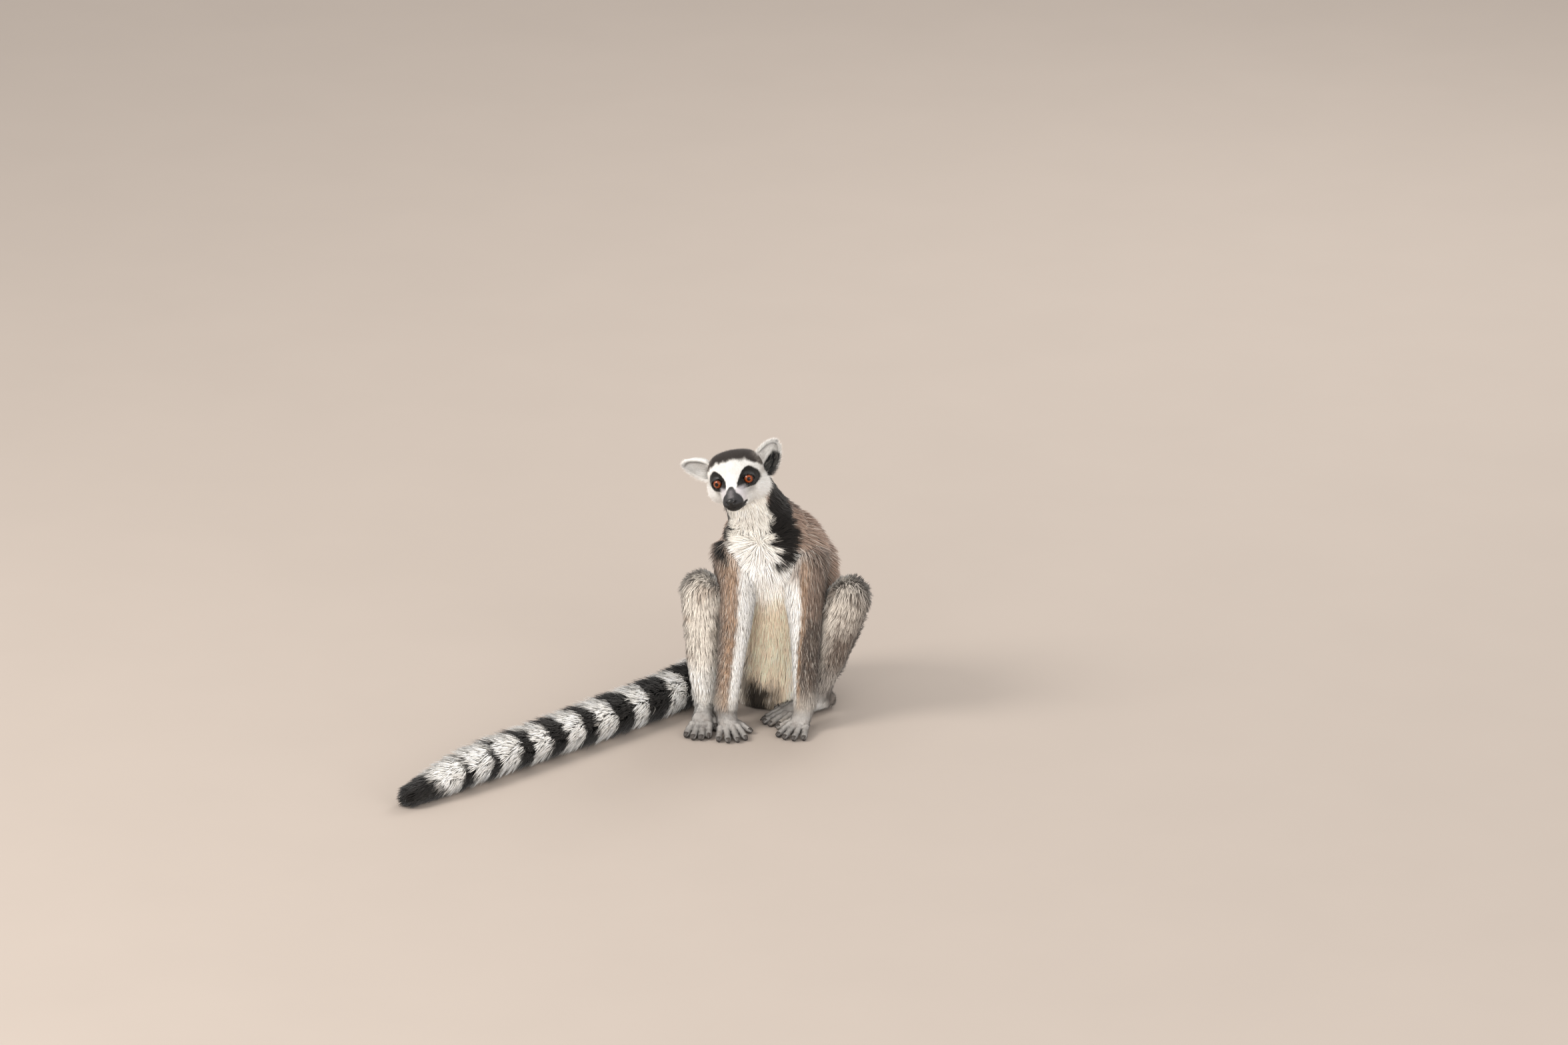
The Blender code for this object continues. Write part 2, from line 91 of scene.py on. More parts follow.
TAIL_LINE = np.array([
    (-0.002, 0.058, 0.034), (-0.045, 0.078, 0.027), (-0.082, 0.050, 0.0245), (-0.090, 0.000, 0.0245),
    (-0.106, -0.055, 0.0245), (-0.150, -0.150, 0.0245), (-0.205, -0.255, 0.0245), (-0.262, -0.362, 0.0230),
    (-0.308, -0.452, 0.0110)])
EYES_MIDDLE = np.array((-0.0250, -0.0865, 0.3060))
HEAD_TURN, HEAD_LIFT, HEAD_TILT = (math.radians(a) for a in (7.5, 9.0, 13.5))
EYE_CENTRE = np.array([(-0.0178, 0.0030, 0.0), (0.0178, 0.0030, 0.0)])
EYE_RADIUS = 0.0082
GAZE_OUT = math.radians(12.5)  # each eye looks this far out from the face
LID = 0.0011  # how far the lids stand over the eyeball
EAR_BASE = np.array([(-0.0335, 0.032, 0.0140), (0.0330, 0.032, 0.0090)])
EAR_AIM = np.array([(-0.90, 0.20, 0.39), (0.58, 0.22, 0.78)])
EAR_FACING = np.array([(-0.15, -0.80, -0.55), (0.42, -0.88, -0.12)])
EAR_SIZE = np.array((0.0138, 0.0100, 0.0208))  # half width, half depth of the cup, half length
EAR_WALL = 0.0013  # half the thickness of its wall
EAR_MIDDLE = (0.0080, 0.0036)  # from its base to the cup's middle: along its aim, toward its opening
EAR_OPENING, EAR_RIM = 0.0006, 0.0016  # the opening's plane before that middle, and the rounding of its edge
EAR_REACH = 0.028  # half the box it is felt in
FLOOR_GAP = 0.0004
FAR = 0.05  # a distance past which no piece of flesh is felt


# ---------------------------------------------------- small sums used by every shape
def unit(v):
    """Each vector over its own length."""
    v = np.asarray(v, float)
    return v / np.maximum(np.linalg.norm(v, axis=-1, keepdims=True), 1e-12)


def ease(x, low, high):
    """0 below low and 1 above high, with a soft S between: 3tt less 2ttt. Low may be the larger."""
    t = np.clip((x - low) / (high - low), 0, 1)
    return t * t * (3 - 2 * t)


def mix(a, b, t):
    """a where t is 0, b where t is 1."""
    return a + (b - a) * t


def soft_min(a, b, k):
    """The lesser of a and b, less (k - |a - b|) squared over 4k where they differ by under k: a fillet."""
    h = np.maximum(k - np.abs(a - b), 0)
    return np.minimum(a, b) - h * h / (4 * k)


def noise(p, scale, seed=0):
    """Smooth random values from 0 to 1 over space: a hash at each corner of a lattice, eased between them."""
    q = np.asarray(p, float) / scale + 1000.0
    cell = np.floor(q).astype(np.int64)
    f = q - cell
    f = f * f * (3 - 2 * f)
    total = np.zeros(len(q))
    for corner in range(8):
        o = np.array([corner & 1, corner >> 1 & 1, corner >> 2 & 1])
        c = cell + o
        h = (c[:, 0] * 73856093) ^ (c[:, 1] * 19349663) ^ (c[:, 2] * 83492791) ^ (seed * 2654435761)
        h = (h ^ (h >> 13)) * 1274126177
        h = ((h ^ (h >> 16)) & 0xFFFF) / 65535.0
        total += h * np.prod(np.where(o, f, 1 - f), axis=1)
    return total


def smooth_line(points, count):
    """A cubic curve through the points at count even steps: each span blends four of them (Catmull-Rom)."""
    p = np.vstack([2 * points[0] - points[1], points, 2 * points[-1] - points[-2]])
    t = np.linspace(0, len(points) - 1 - 1e-9, count * 8)
    i = t.astype(int)
    f = (t - i)[:, None]
    a, b, c, d = p[i], p[i + 1], p[i + 2], p[i + 3]
    curve = 0.5 * (2 * b + (c - a) * f + (2 * a - 5 * b + 4 * c - d) * f**2 + (3 * b - a - 3 * c + d) * f**3)
    run = np.concatenate([[0], np.cumsum(np.linalg.norm(np.diff(curve, axis=0), axis=1))])
    even = np.linspace(0, run[-1], count)
    return np.stack([np.interp(even, run, curve[:, k]) for k in range(curve.shape[1])], 1)


def head_axes():
    """Rows are the head's left, back and crown: the chest's axes turned to its left, lifted, then tilted."""
    ct, st, cl, sl = math.cos(HEAD_TURN), math.sin(HEAD_TURN), math.cos(HEAD_LIFT), math.sin(HEAD_LIFT)
    face = np.array((st * cl, -ct * cl, sl))
    level = np.array((ct, st, 0.0))
    left = level * math.cos(HEAD_TILT) + np.cross(face, level) * math.sin(HEAD_TILT)
    return np.array([left, -face, np.cross(face, left)])


HEAD = head_axes()


def to_head(p):
    """Points of the row frame in the head frame."""
    return (p - EYES_MIDDLE) @ HEAD.T


def from_head(q):
    """Points of the head frame in the row frame."""
    return q @ HEAD + EYES_MIDDLE


def eye_axes(side):
    """Rows are an eye's outward, up and gaze directions in the head frame."""
    out = -1.0 if side == 0 else 1.0
    gaze = np.array((out * math.sin(GAZE_OUT), -math.cos(GAZE_OUT), 0.0))
    outward = np.array((out * math.cos(GAZE_OUT), math.sin(GAZE_OUT), 0.0))
    return np.array([outward, (0, 0, 1.0), gaze])


def from_eyes(q):
    """Points of the head frame as each eye has them in turn: outward, up and along its gaze."""
    return [(q - EYE_CENTRE[side]) @ eye_axes(side).T for side in (0, 1)]


# ---------------------------------------------------- flesh: rounded beads, knit into parts
class Bead:
    """A rounded cone of elliptic section from a to b: its axes are rows, its half sizes vary along it."""

    def __init__(self, a, b, axes, size_a, size_b):
        a, b, axes, size_a, size_b = (np.asarray(v, float) for v in (a, b, axes, size_a, size_b))
        self.a, self.run, self.axes = a, b - a, axes
        self.size, self.grow = size_a, size_b - size_a
        reach = max(np.max(size_a), np.max(size_b))
        self.low, self.high = np.minimum(a, b) - reach, np.maximum(a, b) + reach

    def distance(self, p):
        """Length to the axis times (1 - 1/k), k that length in half sizes: 0 on the surface, less inside."""
        q = p - self.a
        t = np.clip(q @ self.run / max(self.run @ self.run, 1e-12), 0, 1)[:, None]
        q = q - t * self.run + 1e-7
        k = np.sqrt((((q @ self.axes.T) / (self.size + t * self.grow)) ** 2).sum(1)) + 1e-9
        return np.sqrt((q * q).sum(1)) * (1 - 1 / k)


class EarShell:
    """A cupped ear: the shell of an ellipsoid, narrowed to its tip, kept behind the plane of its opening."""

    def __init__(self, side):
        aim = unit(EAR_AIM[side])
        facing = unit(EAR_FACING[side] - aim * (EAR_FACING[side] @ aim))
        self.axes = np.array([np.cross(aim, facing), facing, aim]) @ HEAD
        self.aim, self.facing = aim @ HEAD, facing @ HEAD
        self.centre = from_head(EAR_BASE[side] + aim * EAR_MIDDLE[0] + facing * EAR_MIDDLE[1])
        self.low, self.high = self.centre - EAR_REACH, self.centre + EAR_REACH

    def local(self, p):
        """Points across the ear, toward its opening and along it."""
        return (p - self.centre) @ self.axes.T

    def reach(self, q):
        """How far out local points lie, as a share of the ellipsoid's half sizes: 1 inside the wall."""
        narrow = 1 - 0.14 * np.clip(q[:, 2] / EAR_SIZE[2], -1, 1)
        return np.sqrt((q[:, 0] / (EAR_SIZE[0] * narrow)) ** 2 + (q[:, 1] / EAR_SIZE[1]) ** 2
                       + (q[:, 2] / EAR_SIZE[2]) ** 2)

    def distance(self, p):
        """|distance to the ellipsoid| less half the wall, cut by the opening's plane with a rounded edge."""
        q = self.local(p)
        k = self.reach(q) + 1e-9
        wall = np.abs(np.linalg.norm(q, axis=1) * (1 - 1 / k)) - EAR_WALL
        return -soft_min(-wall, -(q[:, 1] - EAR_OPENING), EAR_RIM)


class Part:
    """One region of the body: its beads, the fillets in it and to the rest, and the line its coat follows."""

    def __init__(self, name, beads, join, knit=0.0, line=None):
        self.name, self.beads, self.join, self.knit = name, beads, join, knit
        self.line = None if line is None else np.asarray(line, float)
        self.low, self.high = np.min([b.low for b in beads], 0), np.max([b.high for b in beads], 0)

    def knitted(self, a, b):
        """The lesser of two distances, with the part's own fillet if it has one."""
        return soft_min(a, b, self.knit) if self.knit else np.minimum(a, b)

    def distance(self, p, pad=0.02):
        """The least of the beads' distances, or their filleted least; FAR beyond pad of every bead."""
        d = np.full(len(p), FAR)
        for bead in self.beads:
            near = np.all((p > bead.low - pad) & (p < bead.high + pad), axis=1)
            if near.any():
                d[near] = self.knitted(d[near], bead.distance(p[near]))
        return d

    def along(self, p):
        """Nearest place on the part's line: the share of its length, 0 to 1, and the line's way there."""
        best, share, way = np.full(len(p), 9.0), np.zeros(len(p)), np.zeros((len(p), 3))
        steps = np.linalg.norm(np.diff(self.line, axis=0), axis=1)
        run = np.concatenate([[0], np.cumsum(steps)]) / steps.sum()
        for k, (a, b) in enumerate(zip(self.line[:-1], self.line[1:])):
            ab = b - a
            t = np.clip((p - a) @ ab / (ab @ ab), 0, 1)
            d = np.linalg.norm(p - a - t[:, None] * ab, axis=1)
            near = d < best
            best[near], share[near] = d[near], mix(run[k], run[k + 1], t[near])
            way[near] = unit(ab)
        return share, way


def tube(points, sizes, side=(1.0, 0, 0)):
    """Beads along a path: at each point the section is an ellipse of the half sizes given there."""
    points, sizes = np.asarray(points, float), np.asarray(sizes, float)
    if sizes.ndim == 1:
        sizes = np.stack([sizes, sizes], 1)
    sizes = np.column_stack([sizes, sizes.mean(1)])
    beads = []
    for a, b, sa, sb in zip(points[:-1], points[1:], sizes[:-1], sizes[1:]):
        way = unit(b - a)
        across = unit(np.asarray(side) - way * (np.asarray(side) @ way))
        beads.append(Bead(a, b, (across, np.cross(way, across), way), sa, sb))
    return beads


def ball(centre, radii):
    """One ellipsoid bead of the head, its axes the head's own."""
    place = from_head(np.asarray(centre, float))
    return Bead(place, place, HEAD, radii, radii)


def digits(at, rows, start, bow, heights, radius):
    """Fingers or toes: each runs from its knuckle out along its spread, thinning to its tip."""
    beads, tips = [], []
    for side, spread, length in rows:
        ahead = start - bow * side * side
        away = np.array((math.cos(spread), math.sin(spread)))
        stations = []
        for share, height in zip((-0.006 / length, 0.18, 0.52, 0.82, 1.0), heights):
            stations.append(at(ahead + away[0] * length * share, side + away[1] * length * share, height))
        swell = np.array((1.0, 1.06, 0.98, 1.0, 0.92)) * radius
        beads += tube(stations, swell)
        tips.append((stations[-1], unit(stations[-1] - stations[-2]), radius * 0.92))
    return beads, tips


def placed(joint, aim, side):
    """A function giving a point of a hand or foot from how far it is ahead of the joint and inward, and its
    height. With it comes the inward direction."""
    forward = unit(aim)
    across = np.array((-forward[1], forward[0], 0)) * (1 if side == 0 else -1)

    def at(ahead, inward, height):
        return np.array((joint[0], joint[1], height)) + forward * ahead + across * inward

    return at, across


def hand(side):
    """Beads, digit tips and the middle line of one hand, from the wrist to the fingers' ends."""
    w = WRIST[side]
    at, across = placed(w, HAND_AIM[side], side)
    palm = tube([at(-0.005, 0, w[2] + 0.004), at(0.004, 0, w[2] - 0.009), at(0.013, 0, 0.0145),
                 at(0.023, 0, 0.0082)],
                [(0.0096, 0.0093), (0.0098, 0.0088), (0.0115, 0.0074), (0.0120, 0.0056)], across)
    fingers, tips = digits(at, FINGERS, 0.021, FINGER_BOW, (0.0092, 0.0098, 0.0074, 0.0048, 0.0034), 0.0034)
    thumb_tip = at(0.023, 0.025, 0.0038)
    thumb = tube([at(0.008, 0.007, 0.0125), at(0.016, 0.017, 0.0080), thumb_tip], (0.0042, 0.0037, 0.0033))
    tips.append((thumb_tip, unit(thumb_tip - at(0.016, 0.017, 0.0060)), 0.0033))
    line = (at(-0.006, 0, w[2] + 0.006), at(0.010, 0, 0.016), at(0.052, 0, 0.004))
    return palm + fingers + thumb, tips, line


def foot(side):
    """Beads, digit tips and the middle line of one foot, from the heel to the toes' ends."""
    a = ANKLE[side]
    at, across = placed(a, FOOT_AIM[side], side)
    middle, halves = [], []
    for ahead, height, *half in SOLE:
        middle.append(at(ahead, 0, height))
        halves.append(half)
    sole = tube(middle, halves, across)
    shin = tube([at(-0.003, 0, a[2] + 0.004), at(0.002, 0, 0.0150)],
                [(0.0108, 0.0112), (0.0104, 0.0112)], across)
    toes, tips = digits(at, TOES, 0.048, TOE_BOW, (0.0082, 0.0094, 0.0078, 0.0052, 0.0037), 0.0037)
    spread = np.array((math.cos(BIG_TOE_SPREAD[side]), math.sin(BIG_TOE_SPREAD[side])))
    big = [at(0.018 + spread[0] * run, 0.007 + spread[1] * run, height)
           for run, height in ((0, 0.0092), (0.016, 0.0078), (0.029, 0.0048))]
    tips.append((big[-1], unit(big[-1] - big[-2]), 0.0043))
    line = (at(-0.012, 0, 0.03), at(0.010, 0, 0.022), at(0.080, 0, 0.005))
    return sole + shin + toes + tube(big, (0.0050, 0.0049, 0.0044)), tips, line


MUZZLE = (  # back, up, half width, half height
    (0.008, -0.0105, 0.0170, 0.0150), (-0.005, -0.0118, 0.0150, 0.0136), (-0.015, -0.0142, 0.0128, 0.0118),
    (-0.023, -0.0168, 0.0096, 0.0096), (-0.029, -0.0184, 0.0074, 0.0076), (-0.0335, -0.0192, 0.0052, 0.0052))
JAW = (
    (0.008, -0.0215, 0.0150, 0.0092), (-0.010, -0.0224, 0.0118, 0.0077), (-0.022, -0.0243, 0.0084, 0.0060),
    (-0.029, -0.0244, 0.0058, 0.0045))


def head_beads():
    """The bare head: cranium, crown, brow, cheeks, muzzle, jaw, nose and the balls under the lids."""
    lids = np.full(3, EYE_RADIUS + LID)
    beads = []
    for out, back, up, *half in (
            (0, 0.0240, 0.0035, 0.0318, 0.0285, 0.0275),  # cranium
            (0, 0.0090, 0.0095, 0.0232, 0.0158, 0.0146),  # brow
            (0.0140, 0.0240, 0.0105, 0.0175, 0.0235, 0.0175),  # sides of the crown
            (0.0150, 0.0225, -0.0115, 0.0165, 0.0200, 0.0140),  # cheeks
            (0, -0.0368, -0.0186, 0.0054, 0.0042, 0.0040),  # nose
            (0, -0.0010, -0.0020, 0.0125, 0.0100, 0.0105),  # between the eyes
            (0.0056, -0.0270, -0.0212, 0.0062, 0.0085, 0.0050)):  # upper lips
        beads += [ball((side * out, back, up), half) for side in ((-1, 1) if out else (0,))]
    beads += [ball(centre, lids) for centre in EYE_CENTRE]
    for chain in (MUZZLE, JAW):
        beads += tube([from_head(np.array((0, y, z))) for y, z, _, _ in chain],
                      [half for _, _, *half in chain], HEAD[0])
    return beads


TAIL_CURVE = smooth_line(TAIL_LINE, 60)
TAIL_RUN = float(np.linalg.norm(np.diff(TAIL_CURVE, axis=0), axis=1).sum())


def flesh():
    """Every part of the body under the coat, and the tips of the digits."""
    centre, half = TRUNK[:, :3], TRUNK[:, 3:] - TRUNK_COAT[:, None]
    parts = [Part("trunk", tube(centre, half), 0.010, line=centre[::-1])]
    share = np.linspace(0, 1, len(TAIL_CURVE))
    core = mix(0.0135, 0.0080, share)[:-1]
    middle = TAIL_CURVE[:-1].copy()
    middle[:, 2] -= (0.0020 * ease(share, 0.05, 0.3) * ease(share, 1.0, 0.85))[:-1]
    parts.append(Part("tail", tube(middle, core), 0.010, line=middle))
    tips = []
    for s, side in enumerate(SIDES):
        for name, (joints, sizes) in LIMBS.items():
            a, b, c = (joint[s] for joint in joints)
            line = [a, mix(a, b, 0.5), b, mix(b, c, 0.3), mix(b, c, 0.65), c]
            parts.append(Part(f"{name}_{side}", tube(line, sizes), 0.006, line=[a, mix(a, b, 0.5), b, c]))
        for name, (beads, ends, line) in (("hand", hand(s)), ("foot", foot(s))):
            parts.append(Part(f"{name}_{side}", beads, 0.003, 0.0014, line))
            tips += [(name, n, *end) for n, end in enumerate(ends)]
    face_to_nape = from_head(np.array([(0, -0.04, -0.016), (0, 0.05, 0.01)]))
    parts.append(Part("head", head_beads(), 0.008, 0.0055, face_to_nape))
    for s, side in enumerate(SIDES):
        shell = EarShell(s)
        line = [shell.centre - shell.aim * 0.02, shell.centre + shell.aim * 0.03]
        parts.append(Part(f"ear_{side}", [shell], 0.003, line=line))
    return parts, tips


PARTS, DIGIT_TIPS = flesh()
PART_NAMES = [part.name for part in PARTS]
PART = dict(zip(PART_NAMES, PARTS))


def by_name(weights):
    """The columns of the part weights, by the parts' names."""
    return dict(zip(PART_NAMES, weights.T))


def paw_weight(names):
    """How much points belong to the hands and feet."""
    return names["hand_right"] + names["hand_left"] + names["foot_right"] + names["foot_left"]


def nose_pad(q):
    """How far a point of the head is from the middle of the bare nose pad, in the pad's half sizes."""
    pad = np.sqrt((q[:, 0] / 0.0060) ** 2 + ((q[:, 2] + 0.0188) / 0.0046) ** 2)
    return np.where(q[:, 1] < -0.028, pad, 9.0)


def relief(p):
    """How far the face's own folds lie under its beads: eye openings, mouth, nostrils and lip groove."""
    q = to_head(p)
    x, y, z = q.T
    ax = np.abs(x)
    sunk = np.zeros(len(p))
    for e in from_eyes(q):
        across, up = np.arctan2(e[:, 0], e[:, 2]), np.arctan2(e[:, 1], np.hypot(e[:, 0], e[:, 2]))
        slant = up + 0.10 * across
        opening = np.radians(np.where(slant > 0, 34.0, 41.0))  # above and below the eye's middle
        rim = np.sqrt((across / math.radians(50)) ** 2 + (slant / opening) ** 2)
        fold = 0.0023 * ease(rim, 1.08, 0.94) - 0.0004 * np.exp(-((rim - 1.22) / 0.12) ** 2)
        sunk += np.where(np.linalg.norm(e, axis=1) < 0.014, fold, 0)
    mouth = -0.0262 + 0.0012 * ease(y, -0.026, -0.014)
    sunk += 0.0013 * np.exp(-((z - mouth) / 0.00065) ** 2) * ease(y, -0.010, -0.014)
    hole = ((ax - 0.0038) / 0.0012) ** 2, ((z + 0.0196 - 0.3 * (ax - 0.0038)) / 0.0010) ** 2
    sunk += 0.0024 * np.exp(-hole[0] - hole[1]) * ease(y, -0.033, -0.036)
    wing = ((ax - 0.0058) / 0.0010) ** 2, ((z + 0.0188) / 0.0011) ** 2
    sunk += 0.0010 * np.exp(-wing[0] - wing[1]) * ease(y, -0.031, -0.034)
    sunk += 0.0007 * np.exp(-(x / 0.00055) ** 2) * ease(y, -0.033, -0.036) * ease(z, -0.0195, -0.0210)
    sunk += 0.0006 * np.exp(-((nose_pad(q) - 1.0) / 0.13) ** 2)  # the nose pad's edge
    return sunk


def surface_distance(p, pad=0.012, folds=True):
    """Distance from points to the bare body: its parts filleted together, the folds, cut at the floor."""
    d = np.full(len(p), FAR)
    for part in PARTS:
        near = np.all((p > part.low - pad) & (p < part.high + pad), axis=1)
        if near.any():
            d[near] = soft_min(d[near], part.distance(p[near], pad), part.join)
    if folds:
        near = np.linalg.norm(p - EYES_MIDDLE, axis=1) < 0.06
        d[near] += relief(p[near])
    return np.maximum(d, FLOOR_GAP - p[:, 2])


def field_grid(step):
    """The body's distance on a lattice of that step: each bead is worked out only near itself."""
    low = np.min([part.low for part in PARTS], 0) - 0.006
    low[2] = -3.5 * step
    shape = np.ceil((np.max([part.high for part in PARTS], 0) + 0.006 - low) / step).astype(int) + 1
    field = np.full(shape, FAR, np.float32)

    def corner(lo, hi):
        """The first and last lattice numbers of a box, with room round it."""
        i = np.clip(np.floor((lo - 0.007 - low) / step).astype(int), 0, shape)
        j = np.clip(np.ceil((hi + 0.007 - low) / step).astype(int) + 1, 0, shape)
        return i, j

    for part in PARTS:
        i, j = corner(part.low, part.high)
        block = np.full(j - i, FAR, np.float32)
        for bead in part.beads:
            m, n = corner(bead.low, bead.high)
            if np.any(n <= m):
                continue
            axes = [low[k] + step * np.arange(m[k], n[k]) for k in range(3)]
            points = np.stack(np.meshgrid(*axes, indexing="ij"), -1).reshape(-1, 3)
            a, b = m - i, n - i
            here = block[a[0]:b[0], a[1]:b[1], a[2]:b[2]]
            here[...] = part.knitted(here, bead.distance(points).reshape(here.shape).astype(np.float32))
        here = field[i[0]:j[0], i[1]:j[1], i[2]:j[2]]
        here[...] = soft_min(here, block, part.join)
    height = low[2] + step * np.arange(shape[2])
    return np.maximum(field, (FLOOR_GAP - height).astype(np.float32)), low


def net(field, low, step):
    """The zero surface of a lattice: a vertex in each cell it passes, at the mean of its edge crossings, and
    a square across each lattice edge that it crosses, facing outward."""
    inside = field < 0
    count = np.zeros(np.array(field.shape) - 1, np.uint8)
    offsets = np.array([(i, j, k) for i in (0, 1) for j in (0, 1) for k in (0, 1)])
    nx, ny, nz = count.shape
    for i, j, k in offsets:
        count += inside[i:i + nx, j:j + ny, k:k + nz]
    active = (count > 0) & (count < 8)
    index = np.full(count.shape, -1, np.int32)
    cells = np.argwhere(active)
    index[active] = np.arange(len(cells))
    values = np.stack([field[tuple((cells + o).T)] for o in offsets], 1)
    total, crossings = np.zeros((len(cells), 3)), np.zeros(len(cells))
    for a in range(8):
        for b in range(a + 1, 8):
            if np.abs(offsets[a] - offsets[b]).sum() == 1:
                va, vb = values[:, a], values[:, b]
                cross = (va < 0) != (vb < 0)
                t = np.where(cross, va / np.where(cross, va - vb, 1), 0)
                total += np.where(cross[:, None], offsets[a] + t[:, None] * (offsets[b] - offsets[a]), 0)
                crossings += cross
    vertices = low + (cells + total / crossings[:, None]) * step
    quads = []
    for axis in range(3):
        u, v = (axis + 1) % 3, (axis + 2) % 3
        near = np.moveaxis(inside, (axis, u, v), (0, 1, 2))
        cell = np.moveaxis(index, (axis, u, v), (0, 1, 2))
        edge = np.argwhere(near[:-1, 1:-1, 1:-1] != near[1:, 1:-1, 1:-1])
        i, j, k = edge[:, 0], edge[:, 1] + 1, edge[:, 2] + 1
        ring = np.stack([cell[i, j - 1, k - 1], cell[i, j, k - 1], cell[i, j, k], cell[i, j - 1, k]], 1)
        leaving = near[i, j, k]
        quads.append(np.where(leaving[:, None], ring, ring[:, ::-1]))
    quads = np.vstack(quads)
    corner = vertices[quads]
    across = [np.linalg.norm(corner[:, a] - corner[:, a + 2], axis=1) for a in (0, 1)]
    short = across[0] < across[1]
    one = np.where(short[:, None], quads[:, [0, 1, 2]], quads[:, [0, 1, 3]])
    two = np.where(short[:, None], quads[:, [0, 2, 3]], quads[:, [1, 2, 3]])
    return vertices, np.vstack([one, two])


def refined(vertices, faces, longest):
    """Splits each edge longer than longest allows at its middle, and the triangles on it in two to four."""
    edges = np.sort(np.vstack([faces[:, [0, 1]], faces[:, [1, 2]], faces[:, [2, 0]]]), axis=1)
    edges, back = np.unique(edges, axis=0, return_inverse=True)
    back = back.reshape(3, -1).T
    ends = vertices[edges]
    middle = ends.mean(1)
    split = np.linalg.norm(ends[:, 0] - ends[:, 1], axis=1) > longest(middle)
    number = np.where(split, len(vertices) + np.cumsum(split) - 1, -1)
    m = number[back]
    marks = (m >= 0).sum(1)
    turn = np.where(marks == 1, np.argmax(m >= 0, axis=1), 0)
    turn = np.where(marks == 2, (np.argmin(m >= 0, axis=1) + 1) % 3, turn)
    order = (turn[:, None] + np.arange(3)) % 3
    f, m = np.take_along_axis(faces, order, 1), np.take_along_axis(m, order, 1)
    a, b, c = f.T
    p, q, r = m.T
    none, one, two, three = (marks == n for n in range(4))
    out = [f[none],
           np.stack([a, p, c], 1)[one], np.stack([p, b, c], 1)[one],
           np.stack([p, b, q], 1)[two], np.stack([a, p, q], 1)[two], np.stack([a, q, c], 1)[two],
           np.stack([a, p, r], 1)[three], np.stack([p, b, q], 1)[three], np.stack([r, q, c], 1)[three],
           np.stack([p, q, r], 1)[three]]
    return np.vstack([vertices, middle[split]]), np.vstack(out)


CORNERS = np.array([(1, 1, 1), (1, -1, -1), (-1, 1, -1), (-1, -1, 1)]) * 0.00018


def outward(p):
    """Distance at each point and the way straight out of the skin there, from four samples about it."""
    samples = np.stack([surface_distance(p + o) for o in CORNERS])
    return samples.mean(0), unit(np.tensordot(samples, CORNERS, (0, 0)))


def settled(vertices, passes=2):
    """Moves vertices along the slope onto the body's surface, by at most 1.5 mm each time."""
    for _ in range(passes):
        distance, way = outward(vertices)
        vertices = vertices - way * np.clip(distance, -0.0015, 0.0015)[:, None]
        vertices[:, 2] = np.maximum(vertices[:, 2], FLOOR_GAP)
    return vertices


# ---------------------------------------------------- colours and markings
def linear(r, g, b):
    """A colour on the usual 0 to 255 scale as linear light."""
    c = np.array((r, g, b)) / 255
    return tuple(float(v) for v in np.where(c <= 0.04045, c / 12.92, ((c + 0.055) / 1.055) ** 2.4))


SHADES = {  # name: (label, colour)
    "white": ("White fur", (248, 245, 240)),
    "chest": ("Chest and throat", (240, 235, 226)),
    "cream": ("Belly", (255, 233, 206)),
    "black": ("Black fur", (23, 20, 18)),
    "crown": ("Crown", (48, 41, 38)),
    "grey": ("Grey-brown arms", (116, 104, 96)),
    "taupe": ("Shoulders and flanks", (152, 130, 116)),
    "rufous": ("Back", (126, 96, 78)),
    "orange": ("Inner forearms", (176, 145, 119)),
    "thigh": ("Legs", (224, 216, 205)),
    "speck": ("Leg speckle", (104, 90, 80)),
    "paw": ("Hands and feet", (172, 168, 164)),
    "leather": ("Pads and nose", (17, 16, 17)),
    "muzzle": ("Muzzle", (43, 42, 44)),
    "lilac": ("Beside the muzzle", (196, 190, 194)),
}


def over(colour, top, amount):
    """Colours with another laid over them, by the amount at each point, held between 0 and 1."""
    return mix(colour, top, np.clip(amount, 0, 1)[:, None])


def stroke(p, points, radii, soft=0.006):
    """1 on a painted line through space and 0 away from it: the distance to it less its radius, eased."""
    d = np.full(len(p), 9.0)
    for a, b, ra, rb in zip(points[:-1], points[1:], radii[:-1], radii[1:]):
        a, b = np.array(a), np.array(b)
        t = np.clip((p - a) @ (b - a) / ((b - a) @ (b - a)), 0, 1)
        d = np.minimum(d, np.linalg.norm(p - a - t[:, None] * (b - a), axis=1) - mix(ra, rb, t))
    return ease(d, soft / 2, -soft / 2)


PATCH_MIDDLE = (19.3, 0.8)  # the middle of an eye's dark patch, out and up, mm
PATCH_REACH = (  # how far it reaches at each bearing from there, mm
    (-180, 12.3), (-155, 14.0), (-130, 12.0), (-97, 10.2), (-50, 10.8), (-11, 10.6), (31, 11.4), (60, 12.4),
    (83, 14.6), (105, 13.2), (138, 11.2), (160, 11.4), (180, 12.3))


